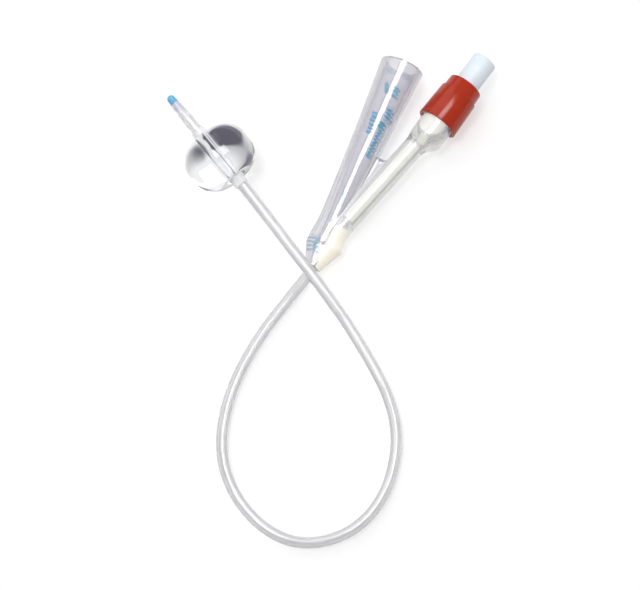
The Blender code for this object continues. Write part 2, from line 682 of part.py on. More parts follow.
def balloon_profile(wall):
    """One skin of the balloon, from its lower collar over the widest place to its upper collar."""
    collar = SHAFT_RADIUS + FIT + CUFF_WALL - wall
    power = BALLOON_SQUARENESS
    widest = BALLOON_RADIUS - wall
    half_length = BALLOON_HALF_LENGTH - wall
    points = []
    steps = 12
    for step in range(-steps, steps + 1):
        turn = math.pi / 2.0 * step / steps
        radius = widest * abs(math.cos(turn)) ** (2.0 / power)
        along = half_length * math.copysign(abs(math.sin(turn)) ** (2.0 / power), turn)
        if radius < collar:
            radius = collar
        dimple = BALLOON_DIMPLE * math.exp(-(((radius - collar) / BALLOON_DIMPLE_RADIUS) ** 2))
        points.append((radius, along - math.copysign(dimple, turn)))
    return points


def make_balloon(line):
    """A thin inflated sleeve whose two cuffs grip the shaft."""
    skin = balloon_profile(0.0)
    lining = balloon_profile(BALLOON_WALL)
    cuff = skin[-1][1] + CUFF_LENGTH
    inner = SHAFT_RADIUS + FIT
    profile = [(inner, -cuff), (inner + CUFF_WALL * 0.6, -cuff)]
    profile += skin
    profile += [(inner + CUFF_WALL * 0.6, cuff), (inner, cuff)]
    profile += [(inner, lining[-1][1])] + lining[-2:0:-1] + [(inner, lining[0][1])]
    dress(put(turned("balloon", profile, 40), line), **BALLOON_SILICONE)


def make_tip(line):
    """The clear tip with its two drainage eyes, and the soft blue cap on its end."""
    base = SHAFT_END + FIT
    end = TIP_END - CAP_LENGTH - FIT
    lumen = DRAIN_LUMEN_RADIUS
    spigot = lumen - FIT
    profile = [
        (lumen, base),
        (SHAFT_RADIUS, base),
        (SHAFT_RADIUS, TIP_TAPER_START),
        (mix(SHAFT_RADIUS, TIP_TAPER_RADIUS, 0.4), mix(TIP_TAPER_START, end, 0.55)),
        (TIP_TAPER_RADIUS, end),
        (lumen, end),
    ]
    tip = put(turned("tip_moulding", profile, 24), line)
    for name, at, way in (("left_eye", EYE_LEFT_AT, 1.0), ("right_eye", EYE_RIGHT_AT, -1.0)):
        shape = bmesh.new()
        bmesh.ops.create_cone(
            shape, cap_ends=True, segments=SMALL_FACETS, radius1=0.5, radius2=0.5, depth=1.0
        )
        size = (EYE_LENGTH, EYE_WIDTH, SHAFT_RADIUS + CUT)
        bmesh.ops.scale(shape, vec=size, verts=shape.verts)
        quarter = Matrix.Rotation(math.pi / 2.0, 4, "X") @ Matrix.Rotation(math.pi / 2.0, 4, "Z")
        out = Matrix.Translation((0.0, way * (SHAFT_RADIUS + CUT) / 2.0, at))
        bmesh.ops.transform(shape, matrix=out @ quarter, verts=shape.verts)
        cut_away(tip, put(mesh_object(name, shape), line))
    dress(tip, **TIP_SILICONE)

    dome = CAP_RADIUS
    cap_profile = [(0.0, end - CAP_SPIGOT_LENGTH), (spigot, end - CAP_SPIGOT_LENGTH)]
    cap_profile += [(spigot, end + FIT), (TIP_TAPER_RADIUS, end + FIT)]
    cap_profile.append((CAP_RADIUS, TIP_END - dome))
    for step in range(1, 6):
        angle = math.pi / 2.0 * step / 6
        cap_profile.append((CAP_RADIUS * math.cos(angle), TIP_END - dome + dome * math.sin(angle)))
    cap_profile.append((0.0, TIP_END))
    dress(put(turned("tip_cap", cap_profile, 24), line), **BLUE_SILICONE)


def smooth_line(route, spacing):
    """Reads evenly spaced points from the smooth curve through a route's points."""
    fine = []
    last = len(route) - 1
    for number in range(last):
        before = route[max(number - 1, 0)]
        start, end = route[number], route[number + 1]
        after = route[min(number + 2, last)]
        for step in range(12):
            t = step / 12
            fine.append(
                0.5
                * (
                    2.0 * start
                    + (end - before) * t
                    + (2.0 * before - 5.0 * start + 4.0 * end - after) * t**2
                    + (3.0 * start - before - 3.0 * end + after) * t**3
                )
            )
    fine.append(route[last])
    length = sum((after - before).length for before, after in zip(fine, fine[1:]))
    return even_points(fine, round(length / spacing)) + [route[last]]


def make_shaft(moulding, line):
    """The flexible shaft, from the nose of the moulding along the table to the balloon."""
    bpy.context.view_layer.update()
    route = []
    for away in (FIT, SHAFT_RADIUS):
        start = nose_point(0.0, -away)
        route.append(moulding.matrix_world @ Vector((start.x, start.y, 0.0)))
    route += [Vector(point) * MM for point in SHAFT_ROUTE]
    for along in (-16.0 * MM, -8.0 * MM, 0.0, SHAFT_END):
        route.append(line.matrix_world @ Vector((0.0, 0.0, along)))
    points = smooth_line(route, SHAFT_POINT_SPACING)
    tube = bpy.data.curves.new("shaft_tube", "CURVE")
    tube.dimensions = "3D"
    tube.bevel_depth = SHAFT_RADIUS
    tube.bevel_resolution = 3
    tube.use_fill_caps = True
    spline = tube.splines.new("POLY")
    spline.points.add(len(points) - 1)
    for point, place in zip(spline.points, points):
        point.co = (*place, 1.0)
    dress(put(bpy.data.objects.new("shaft_tube", tube)), **CLEAR_SILICONE)


def main():
    clear_scene()
    height, rise, roll = moulding_pose()
    moulding = frame("moulding_frame", (MOULDING_X, MOULDING_Y, height), (rise, roll, 0.0))
    bulb = frame("bulb_heading", (*bulb_frame(), 0.0), (0.0, 0.0, -BULB_ANGLE), moulding)
    arm = frame("arm_frame", (0.0, 0.0, 0.0), (-math.pi / 2.0, 0.0, 0.0), bulb)
    valve = frame("valve_frame", (0.0, 0.0, VALVE_END), (math.pi, 0.0, 0.0), arm)
    line = frame(
        "balloon_frame",
        (BALLOON_X, BALLOON_Y, BALLOON_RADIUS + BALLOON_LIFT),
        (0.0, math.pi / 2.0 - BALLOON_RISE, BALLOON_HEADING),
    )
    make_y_connector(moulding)
    make_size_sleeve(arm)
    make_valve_body(valve)
    make_valve_plunger(valve)
    make_valve_seal(valve)
    make_valve_spring(valve)
    make_valve_retainer(valve)
    make_balloon(line)
    make_tip(line)
    make_shaft(moulding, line)


main()
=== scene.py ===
"""The looks of a two-way balloon catheter of clear silicone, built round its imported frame.

The catheter lies in one loop on a pale table. Every finished piece keeps its place in its mesh,
so its object stands at the origin like a frame node's. Lengths are in metres.
"""

import logging
import math
from collections.abc import Sequence
from dataclasses import dataclass
from enum import Enum
from typing import Any, NamedTuple

import bpy
from mathutils import Matrix, Vector


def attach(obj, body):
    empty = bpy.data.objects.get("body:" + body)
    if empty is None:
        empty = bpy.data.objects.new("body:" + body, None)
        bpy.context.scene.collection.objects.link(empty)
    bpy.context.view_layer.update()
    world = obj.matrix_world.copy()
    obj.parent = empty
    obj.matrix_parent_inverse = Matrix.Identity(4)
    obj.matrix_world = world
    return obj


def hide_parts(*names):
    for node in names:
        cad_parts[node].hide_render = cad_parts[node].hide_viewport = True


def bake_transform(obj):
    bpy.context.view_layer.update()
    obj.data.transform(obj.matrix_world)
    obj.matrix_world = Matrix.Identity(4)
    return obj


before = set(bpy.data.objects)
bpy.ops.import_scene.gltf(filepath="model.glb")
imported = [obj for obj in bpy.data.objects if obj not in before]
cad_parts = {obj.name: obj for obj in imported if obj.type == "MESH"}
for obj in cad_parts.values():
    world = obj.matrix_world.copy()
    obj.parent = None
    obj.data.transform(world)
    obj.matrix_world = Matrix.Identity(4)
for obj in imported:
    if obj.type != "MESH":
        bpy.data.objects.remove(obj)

MM = 0.001
BODY = "catheter"
LOG = logging.getLogger("catheter")
UPRIGHT_TO_FLAT = Matrix.Rotation(-math.pi / 2.0, 4, "X")
WHITE = (1.0, 1.0, 1.0, 1.0)

Colour = tuple[float, float, float]
Point = tuple[float, float, float]
Pair = tuple[float, float]


def mm(*lengths: float) -> tuple[float, ...]:
    """Lengths in millimetres as metres."""
    return tuple(length * MM for length in lengths)


class Slot(Enum):
    """The material slots that the new pieces show."""

    CLEAR = "clear_silicone"
    TIP = "tip_silicone"
    BLUE = "blue_silicone"
    BALLOON = "balloon_silicone"
    RED = "red_plastic"
    WHITE = "white_plastic"
    STEEL = "spring_steel"


class Ring(NamedTuple):
    """One cross ring of a loft: height, half width, half depth, side offset and lean."""

    at: float
    wide: float
    deep: float | None = None
    aside: float = 0.0
    lean: float = 0.0


class Passage(NamedTuple):
    """One of the shaft's two inner passages: its radius and its offset to the side."""

    radius: float
    aside: float


DRAINAGE = Passage(1.1 * MM, -0.45 * MM)
INFLATION = Passage(0.35 * MM, 1.3 * MM)


class Signal:
    """A shader socket that takes part in plain arithmetic."""

    def __init__(self, board: "NodeBoard", socket: bpy.types.NodeSocket) -> None:
        """Ties a socket to its board.

        Args:
            board: The board whose nodes do the sums.
            socket: The output that carries the value.
        """
        self.board = board
        self.socket = socket

    def _sum(self, operation: str, first: Any, second: Any = 0.0) -> "Signal":
        """Adds one Math node.

        Args:
            operation: The Math node's operation.
            first: Its first value or signal.
            second: Its second value or signal.

        Returns:
            The node's result.
        """
        return self.board.node("ShaderNodeMath", {"operation": operation}, {0: first, 1: second})

    def __add__(self, other: Any) -> "Signal":
        """The sum of this and another value."""
        return self._sum("ADD", self, other)

    __radd__ = __add__

    def __sub__(self, other: Any) -> "Signal":
        """This less another value."""
        return self._sum("SUBTRACT", self, other)

    def __rsub__(self, other: Any) -> "Signal":
        """Another value less this."""
        return self._sum("SUBTRACT", other, self)

    def __mul__(self, other: Any) -> "Signal":
        """This times another value."""
        return self._sum("MULTIPLY", self, other)

    __rmul__ = __mul__

    def __truediv__(self, other: Any) -> "Signal":
        """This divided by another value."""
        return self._sum("DIVIDE", self, other)

    def __abs__(self) -> "Signal":
        """This without its sign."""
        return self._sum("ABSOLUTE", self)

    def __or__(self, other: Any) -> "Signal":
        """The larger of this and another value."""
        return self._sum("MAXIMUM", self, other)

    def fraction(self) -> "Signal":
        """What is left of this over the next lower whole number."""
        return self._sum("FRACT", self)

    def ramp(self, start: float, end: float) -> "Signal":
        """Rises smoothly from 0 to 1.

        Args:
            start: The value at which it leaves 0.
            end: The value at which it reaches 1.

        Returns:
            The smooth step.
        """
        settings = {"interpolation_type": "SMOOTHSTEP"}
        sockets = {"Value": self, "From Min": start, "From Max": end}
        return self.board.node("ShaderNodeMapRange", settings, sockets)

    def within(self, start: float, end: float, soft: float) -> "Signal":
        """1 between two values and 0 outside them.

        Args:
            start: The lower value.
            end: The upper value.
            soft: Half the width of both edges.

        Returns:
            The soft window.
        """
        return self.ramp(start - soft, start + soft) * (1.0 - self.ramp(end - soft, end + soft))


class NodeBoard:
    """The node tree of one material or of the world."""

    def __init__(self, tree: bpy.types.NodeTree) -> None:
        """Empties a tree.

        Args:
            tree: The tree to fill.
        """
        self.tree = tree
        self.tree.nodes.clear()

    @classmethod
    def for_material(cls, name: str) -> tuple[bpy.types.Material, "NodeBoard"]:
        """Makes a material.

        Args:
            name: The material's name.

        Returns:
            The material and the board of its nodes.
        """
        made = bpy.data.materials.new(name)
        made.use_nodes = True
        return made, cls(made.node_tree)

    def node(
        self, kind: str, settings: dict[str, Any] | None = None,
        sockets: dict[Any, Any] | None = None, output: int | str = 0,
    ) -> Signal:
        """Adds a node.

        Args:
            kind: The node's type.
            settings: Its properties, set before its sockets.
            sockets: Values or signals by socket name or number.
            output: The output that is handed back.

        Returns:
            The chosen output.
        """
        made = self.tree.nodes.new(kind)
        for name, value in (settings or {}).items():
            setattr(made, name, value)
        for name, value in (sockets or {}).items():
            if isinstance(value, Signal):
                self.tree.links.new(value.socket, made.inputs[name])
            else:
                made.inputs[name].default_value = value
        return Signal(self, made.outputs[output] if made.outputs else None)

    def place(self) -> Signal:
        """The position on the piece in the row frame."""
        return self.node("ShaderNodeTexCoord", output="Object")

    def own_axes(self, placement: Matrix) -> tuple[Signal, Signal, Signal]:
        """The position in a part's own axes.

        Args:
            placement: Where those axes lie in the row frame.

        Returns:
            The three coordinates.
        """
        sockets = {
            "Vector": self.place(), "Location": placement.translation, "Rotation": placement.to_euler()
        }
        own = self.node("ShaderNodeMapping", {"vector_type": "TEXTURE"}, sockets)
        parts = self.node("ShaderNodeSeparateXYZ", {}, {"Vector": own}).socket.node.outputs
        return Signal(self, parts[0]), Signal(self, parts[1]), Signal(self, parts[2])

    def grain(self, scale: float, detail: float = 3.0) -> Signal:
        """Fine noise over the piece.

        Args:
            scale: Waves in a metre.
            detail: Octaves of finer noise.

        Returns:
            The noise, about 0.5 in the mean.
        """
        sockets = {"Vector": self.place(), "Scale": scale, "Detail": detail}
        return self.node("ShaderNodeTexNoise", {}, sockets)

    def relief(self, height: Signal, strength: float, distance: float) -> Signal:
        """A normal that follows a fine relief.

        Args:
            height: The relief.
            strength: How strongly it shows.
            distance: How deep it is.

        Returns:
            The normal.
        """
        sockets = {"Height": height, "Strength": strength, "Distance": distance}
        return self.node("ShaderNodeBump", {}, sockets)

    def tint(self, share: Any, first: Any, second: Any) -> Signal:
        """Mixes two colours.

        Args:
            share: 0 for the first colour and 1 for the second.
            first: Linear red, green and blue, or a signal.
            second: The other colour.

        Returns:
            The mixed colour.
        """
        sockets = {0: share}
        for number, colour in ((6, first), (7, second)):
            sockets[number] = colour if isinstance(colour, Signal) else (*colour, 1.0)
        return self.node("ShaderNodeMix", {"data_type": "RGBA"}, sockets, output=2)

    def blend(self, share: Any, first: Signal, second: Signal) -> Signal:
        """Mixes two shaders, 0 for the first and 1 for the second."""
        return self.node("ShaderNodeMixShader", {}, {0: share, 1: first, 2: second})

    def plastic(self, sockets: dict[str, Any]) -> Signal:
        """Adds the common shader of all finishes with these sockets."""
        return self.node("ShaderNodeBsdfPrincipled", {}, sockets)

    def show(self, surface: Signal) -> None:
        """Ends the tree of a material in a surface."""
        self.node("ShaderNodeOutputMaterial", {}, {"Surface": surface})


@dataclass(frozen=True)
class Silicone:
    """A clear or milky cast silicone with faint waves in its skin.

    Attributes:
        name: The material's name.
        colour: Linear colour of the silicone.
        rough: Roughness of the skin.
        ior: Refraction against what lies outside it.
        clear: How much light passes instead of scattering.
        wave: Strength of the waves in the skin.
        gloss: Weight of the wet gloss over it.
        cloud: How much of its colour a faint cloud in it has.
    """

    name: str
    colour: Colour
    rough: float = 0.06
    ior: float = 1.41
    clear: float = 1.0
    wave: float = 0.05
    gloss: float = 0.0
    cloud: float = 0.975

    def skin(self, board: NodeBoard, colour: Signal | None = None) -> Signal:
        """Adds the silicone's shader.

        Args:
            board: The material's board.
            colour: A colour that varies, in place of the silicone's own.

        Returns:
            The shader.
        """
        clouds = board.grain(scale=90.0, detail=2.0).ramp(0.3, 0.7)
        own = board.tint(clouds, [share * self.cloud for share in self.colour], self.colour)
        return board.plastic({
            "Base Color": own if colour is None else colour,
            "Roughness": self.rough + 0.04 * board.grain(scale=400.0),
            "IOR": self.ior,
            "Transmission Weight": self.clear,
            "Coat Weight": self.gloss,
            "Coat Roughness": 0.1,
            "Normal": board.relief(board.grain(scale=260.0, detail=1.0), self.wave, 0.4 * MM),
        })

    def material(self) -> bpy.types.Material:
        """Builds the finish.

        Returns:
            The material.
        """
        made, board = NodeBoard.for_material(self.name)
        board.show(self.skin(board))
        return made


@dataclass(frozen=True)
class TippedSilicone:
    """Silicone that turns to a second colour at one end.

    Attributes:
        body: The silicone.
        second: The colour at the end.
        placement: Axes whose Z runs towards that end.
        start: Where along Z the colour starts to turn.
        end: Where it has turned.
    """

    body: Silicone
    second: Colour
    placement: Matrix
    start: float
    end: float

    def material(self) -> bpy.types.Material:
        """Builds the finish.

        Returns:
            The material.
        """
        made, board = NodeBoard.for_material(self.body.name)
        _, _, along = board.own_axes(self.placement)
        colour = board.tint(along.ramp(self.start, self.end), self.body.colour, self.second)
        board.show(self.body.skin(board, colour))
        return made


@dataclass(frozen=True)
class BarRow:
    """A row of plain ink bars on the moulding, in its own axes.

    Attributes:
        start: Side offset and distance from the nose at one end of the row.
        end: The same at its other end.
        reach: Half the length of a bar, across the row.
        pitch: Distance from bar to bar.
        filled: Share of the pitch that is ink.
        ink: How strong the ink is.
        ripple: How far the bars wander.
        first: Share of the pitch before the ink.
        blur: Softness of a bar's long edges, as a share of the pitch.
        edge: Softness of a bar's ends.
    """

    start: Pair
    end: Pair
    reach: float
    pitch: float
    filled: float = 0.6
    ink: float = 0.9
    ripple: float = 0.5 * MM
    first: float = 0.2
    blur: float = 0.08
    edge: float = 0.12 * MM

    def mask(self, side: Signal, at: Signal) -> Signal:
        """Where the row's ink lies.

        Args:
            side: Side offset on the moulding.
            at: Distance from its nose.

        Returns:
            The strength of the ink.
        """
        slope = (self.end[0] - self.start[0]) / (self.end[1] - self.start[1])
        noise = side.board.grain(scale=900.0, detail=1.0) - 0.5
        across = abs(side - slope * at - (self.start[0] - slope * self.start[1])) + noise * self.reach
        turn = ((at + noise * self.ripple) / self.pitch).fraction()
        bars = turn.within(self.first, self.first + self.filled, self.blur)
        row = at.within(self.start[1], self.end[1], 0.1 * MM)
        inside = 1.0 - across.ramp(self.reach - self.edge, self.reach + self.edge)
        return bars * row * inside * self.ink


@dataclass(frozen=True)
class PaleStreak:
    """A pale streak along an axis of the arm that shows through its milky wall.

    Attributes:
        start: Where along the axis it starts.
        end: Where it ends.
        inner: Half the width that is fully pale.
        outer: Half the width at which it is gone.
        strength: How strongly it shows.
        aside: Its offset from the axis.
        soft: Softness of both ends.
    """

    start: float
    end: float
    inner: float
    outer: float
    strength: float
    aside: float = 0.0
    soft: float = 1.0 * MM

    def mask(self, across: Signal, along: Signal) -> Signal:
        """Where the streak lies.

        Args:
            across: Offset from the axis.
            along: Distance along it.

        Returns:
            The strength of the streak.
        """
        width = 1.0 - abs(across - self.aside).ramp(self.inner, self.outer)
        return width * along.within(self.start, self.end, self.soft) * self.strength


@dataclass(frozen=True)
class MouldingSilicone:
    """The Y moulding's milky silicone, its cream wedge and its rows of ink bars.

    Attributes:
        placement: The moulding's own axes.
        arm_place: The arm's own axes, with +Z outwards from the fork.
        bulb_place: The bulb's own axes, with +Z outwards.
        drain: The silicone of the drainage side.
        arm_colour: The colour on the side of the arm.
        cream: The silicone of the wedge between the nose and the arm's passage.
        core_colour: The colour of what shows through the wall of the arm.
        wedge_end: Distance from the nose to the end of the wedge.
        valley: Side offset of the valley between both lobes, where the wedge starts.
        ink_colour: The colour of the bars.
        rows: The rows of bars.
        passage: The arm's passage.
        cone: The narrow end of the valve's socket.
        tail_at: Where on the bulb's axis the valve's domed tail has its middle.
        tail_aside: Its offset from that axis.
        tail_inner: Its radius that is fully pale.
        tail_outer: Its radius at which it is gone.
        tail_strength: How strongly it shows.
        arm_slope: Slope of the line from the nose where the arm's colour starts.
        arm_soft: Half the width of that change.
        wedge_slope: Slope of the wedge's edge along the valley.
        wedge_soft: Half the width of that edge.
        wedge_fade: Length over which the wedge ends.
        printed_above: Heights between which the bars set in.
    """

    placement: Matrix
    arm_place: Matrix
    bulb_place: Matrix
    drain: Silicone
    arm_colour: Colour
    cream: Silicone
    core_colour: Colour
    wedge_end: float
    valley: float
    ink_colour: Colour
    rows: tuple[BarRow, ...]
    passage: PaleStreak = PaleStreak(*mm(12.0, 49.5, 1.5, 2.7), strength=0.8, aside=0.6 * MM)
    cone: PaleStreak = PaleStreak(*mm(50.2, 54.0, 1.0, 2.2), strength=0.6, soft=0.5 * MM)
    tail_at: float = 59.0 * MM
    tail_aside: float = -0.7 * MM
    tail_inner: float = 3.9 * MM
    tail_outer: float = 5.4 * MM
    tail_strength: float = 0.8
    arm_slope: float = 0.17
    arm_soft: float = 0.6 * MM
    wedge_slope: float = 0.05
    wedge_soft: float = 0.5 * MM
    wedge_fade: float = 1.5 * MM
    printed_above: Pair = mm(0.4, 1.0)

    def core(self, board: NodeBoard) -> Signal:
        """Where the pale passage of the arm and the valve's tail show through the milky wall.

        Args:
            board: The material's board.

        Returns:
            The strength of the pale core.
        """
        across, _, along = board.own_axes(self.arm_place)
        passage = self.passage.mask(across, along)
        across, _, along = board.own_axes(self.bulb_place)
        cone = self.cone.mask(across, along)
        short = (self.tail_at - along) | 0.0
        aside = across - self.tail_aside
        tail = 1.0 - (aside * aside + short * short).ramp(self.tail_inner**2, self.tail_outer**2)
        return passage | cone | tail * self.tail_strength

    def material(self) -> bpy.types.Material:
        """Builds the finish.

        Returns:
            The material.
        """
        made, board = NodeBoard.for_material(self.drain.name)
        side, at, height = board.own_axes(self.placement)
        armwards = (side - self.arm_slope * at).ramp(-self.arm_soft, self.arm_soft)
        body = self.drain.skin(board, board.tint(armwards, self.drain.colour, self.arm_colour))
        first, last = self.valley - self.wedge_soft, self.valley + self.wedge_soft
        wedge = (side - self.wedge_slope * at).ramp(first, last)
        wedge = wedge * (1.0 - at.ramp(self.wedge_end - self.wedge_fade, self.wedge_end))
        pale = board.tint(wedge, self.core_colour, self.cream.colour)
        surface = board.blend(wedge | self.core(board), body, self.cream.skin(board, pale))
        dull = 0.35 + 0.2 * board.grain(scale=700.0)
        printed = board.plastic({"Base Color": (*self.ink_colour, 1.0), "Roughness": dull})
        mask = self.rows[0].mask(side, at)
        for row in self.rows[1:]:
            mask = mask | row.mask(side, at)
        board.show(board.blend(mask * height.ramp(*self.printed_above), surface, printed))
        return made


@dataclass(frozen=True)
class Moulded:
    """An opaque moulded plastic, rubber or metal with a fine grain.

    Attributes:
        name: The material's name.
        colour: Linear colour.
        worn: The colour of its paler flecks.
        rough: Roughness of the skin.
        metal: 1 for a metal.
        grain: Strength of the fine relief.
        scatter: Share of light that scatters inside it.
        shine: Strength of its mirror reflection, 0.5 for common plastic.
    """

    name: str
    colour: Colour
    worn: Colour
    rough: float = 0.35
    metal: float = 0.0
    grain: float = 0.12
    scatter: float = 0.0
    shine: float = 0.5

    def material(self) -> bpy.types.Material:
        """Builds the finish.

        Returns:
            The material.
        """
        made, board = NodeBoard.for_material(self.name)
        flecks = board.grain(scale=260.0).ramp(0.35, 0.75)
        board.show(board.plastic({
            "Base Color": board.tint(flecks, self.colour, self.worn),
            "Roughness": self.rough + 0.12 * board.grain(scale=900.0),
            "Metallic": self.metal,
            "Subsurface Weight": self.scatter,
            "Subsurface Scale": 2.0 * MM,
            "Specular IOR Level": self.shine,
            "Normal": board.relief(board.grain(scale=2600.0, detail=4.0), self.grain, 0.1 * MM),
        }))
        return made


def share_of(value: float, start: float, end: float) -> float:
    """A smooth rise from 0 at start to 1 at end."""
    share = min(1.0, max(0.0, (value - start) / (end - start)))
    return share * share * (3.0 - 2.0 * share)


def between(first: float, second: float, share: float) -> float:
    """The value at a share of the way from first to second."""
    return first + (second - first) * share


def spread(start: float, end: float, steps: int) -> list[float]:
    """Evenly spaced values from start to end, with both of them."""
    return [between(start, end, step / steps) for step in range(steps + 1)]


def pick(*pieces: bpy.types.Object) -> None:
    """Leaves edit mode and selects only some pieces.

    Args:
        pieces: The pieces, of which the first becomes the active one.
    """
    if bpy.context.mode != "OBJECT":
        bpy.ops.object.mode_set(mode="OBJECT")
    bpy.ops.object.select_all(action="DESELECT")
    for piece in pieces:
        piece.select_set(True)
    bpy.context.view_layer.objects.active = pieces[0]


def edit(piece: bpy.types.Object, mode: str = "EDGE") -> None:
    """Opens a piece in edit mode with everything selected.

    Args:
        piece: The piece.
        mode: What is selected in it: VERT, EDGE or FACE.
    """
    pick(piece)
    bpy.ops.object.mode_set(mode="EDIT")
    bpy.ops.mesh.select_mode(type=mode)
    bpy.ops.mesh.select_all(action="SELECT")


def close_up(reach: float = 1e-7) -> None:
    """Merges the doubles of the piece in edit mode, turns its faces outwards and leaves edit mode.

    Args:
        reach: How close points lie that are merged.
    """
    bpy.ops.mesh.select_all(action="SELECT")
    bpy.ops.mesh.remove_doubles(threshold=reach)
    bpy.ops.mesh.normals_make_consistent(inside=False)
    bpy.ops.object.mode_set(mode="OBJECT")


def loft(name: str, rings: Sequence[Ring], facets: int, looped: bool = False) -> bpy.types.Object:
    """Adds a circle and extrudes it from ring to ring along +Z.

    Args:
        name: The piece's name.
        rings: The cross rings, in order. A ring leans towards +X about its own middle.
        facets: Sides of the circle.
        looped: Closes the last ring on the first instead of capping both.

    Returns:
        A closed piece whose normals point outwards.
    """
    bpy.ops.object.select_all(action="DESELECT")
    fill = "NOTHING" if looped else "NGON"
    bpy.ops.mesh.primitive_circle_add(vertices=facets, radius=1.0, fill_type=fill)
    piece = bpy.context.active_object
    piece.name = piece.data.name = name
    edit(piece)
    before = Ring(0.0, 1.0)
    for number, after in enumerate([*rings, rings[0]] if looped else rings):
        step = (after.aside - before.aside, 0.0, after.at - before.at)
        if number == 0:
            bpy.ops.transform.translate(value=step)
        else:
            bpy.ops.mesh.extrude_edges_move(TRANSFORM_OT_translate={"value": step})
        middle = (after.aside, 0.0, after.at)
        wider = after.wide / before.wide
        deeper = (after.deep or after.wide) / (before.deep or before.wide)
        bpy.ops.transform.resize(value=(wider, deeper, wider), center_override=middle)
        if after.lean != before.lean:
            # With no window this operator turns the other way, so its angle is given back to front.
            back = before.lean - after.lean
            bpy.ops.transform.rotate(
                value=back, orient_axis="Y", orient_type="GLOBAL", center_override=middle
            )
        before = after
    if not looped:
        bpy.ops.mesh.edge_face_add()
    close_up()
    return piece


def seat(piece: bpy.types.Object, placement: Matrix) -> bpy.types.Object:
    """Moves a piece to its place and writes that place into its mesh.

    Args:
        piece: The piece.
        placement: Where it goes.

    Returns:
        The piece.
    """
    pick(piece)
    piece.matrix_world = placement @ piece.matrix_world
    bpy.ops.object.transform_apply(location=True, rotation=True, scale=True)
    return piece


def lay(name: str, rings: Sequence[Ring], facets: int, turn: Matrix | None = None) -> bpy.types.Object:
    """Lofts a closed part of the moulding and lays it down along +Y.

    Args:
        name: The part's name.
        rings: Its cross rings.
        facets: Sides of each ring.
        turn: How the part stands before it is laid down.

    Returns:
        The part.
    """
    return seat(loft(name, rings, facets), UPRIGHT_TO_FLAT @ (turn or Matrix()))


def finish_with(piece: bpy.types.Object, kind: str, **settings: Any) -> None:
    """Adds one modifier and applies it.

    Args:
        piece: The piece.
        kind: The modifier's type.
        settings: Its properties.
    """
    pick(piece)
    step = piece.modifiers.new(kind.lower(), kind)
    for name, value in settings.items():
        setattr(step, name, value)
    bpy.ops.object.modifier_apply(modifier=step.name)


def smooth(piece: bpy.types.Object, degrees: float = 35.0) -> bpy.types.Object:
    """Shades a piece smooth.

    Args:
        piece: The piece.
        degrees: The angle between faces from which an edge stays sharp.

    Returns:
        The piece.
    """
    pick(piece)
    bpy.ops.object.shade_smooth_by_angle(angle=math.radians(degrees))
    return piece


def weld(piece: bpy.types.Object, reach: float) -> None:
    """Merges close points and drops the faces that this leaves without area.

    Args:
        piece: The piece.
        reach: How close points lie that are merged.
    """
    edit(piece, "VERT")
    bpy.ops.mesh.remove_doubles(threshold=reach)
    bpy.ops.mesh.dissolve_degenerate(threshold=reach)
    bpy.ops.object.mode_set(mode="OBJECT")


def soften(piece: bpy.types.Object, width: float) -> bpy.types.Object:
    """Rounds a piece's sharp edges.

    Args:
        piece: The piece.
        width: Width of the rounding.

    Returns:
        The piece.
    """
    finish_with(
        piece, "BEVEL", width=width, segments=3, limit_method="ANGLE",
        angle_limit=math.radians(35.0), use_clamp_overlap=True,
    )
    weld(piece, reach=0.002 * MM)
    return smooth(piece, degrees=40.0)


def sweep(name: str, line: Sequence[Vector], radius: float, rounds: int) -> bpy.types.Object:
    """Sweeps a circle along a line.

    Args:
        name: The piece's name.
        line: The points of the line.
        radius: The circle's radius.
        rounds: Bevel resolution of the circle.

    Returns:
        A closed piece whose normals point outwards.
    """
    curve = bpy.data.curves.new(name, "CURVE")
    curve.dimensions = "3D"
    curve.bevel_depth = radius
    curve.bevel_resolution = rounds
    curve.use_fill_caps = True
    spline = curve.splines.new("POLY")
    spline.points.add(len(line) - 1)
    for number, point in enumerate(line):
        spline.points[number].co = (*point, 1.0)
    swept = bpy.data.objects.new(name, curve)
    bpy.context.collection.objects.link(swept)
    pick(swept)
    bpy.ops.object.convert(target="MESH")
    piece = bpy.context.active_object
    edit(piece, "VERT")
    close_up()
    return piece


def cut(piece: bpy.types.Object, cutter: bpy.types.Object) -> None:
    """Subtracts a cutter and removes it."""
    finish_with(piece, "BOOLEAN", operation="DIFFERENCE", solver="EXACT", object=cutter)
    bpy.data.objects.remove(cutter, do_unlink=True)


def slice_off(piece: bpy.types.Object, place: Sequence[float], outwards: Sequence[float]) -> None:
    """Cuts a piece at a plane and closes it there.

    Args:
        piece: The piece, whose mesh is in world axes.
        place: A point on the plane.
        outwards: The plane's normal, towards the side that goes.
    """
    edit(piece, "FACE")
    bpy.ops.mesh.bisect(plane_co=place, plane_no=outwards, use_fill=True, clear_outer=True)
    bpy.ops.object.mode_set(mode="OBJECT")


def dress(piece: bpy.types.Object, *finishes: Any) -> None:
    """Gives a piece new materials.

    Args:
        piece: The piece.
        finishes: One finish for each material.
    """
    piece.data.materials.clear()
    for finish in finishes:
        piece.data.materials.append(finish.material())


def stand_in(piece: bpy.types.Object, node: str) -> bpy.types.Object:
    """Hides the frame node that a finished piece stands for, and reports the piece.

    Args:
        piece: The finished piece.
        node: The frame node that it stands for.

    Returns:
        The piece.
    """
    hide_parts(node)
    LOG.info("%s: %d faces", piece.name, len(piece.data.polygons))
    return piece


def hand_over(piece: bpy.types.Object, node: str) -> bpy.types.Object:
    """Lets a finished piece ride the catheter's body in place of a frame node."""
    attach(piece, BODY)
    return stand_in(piece, node)


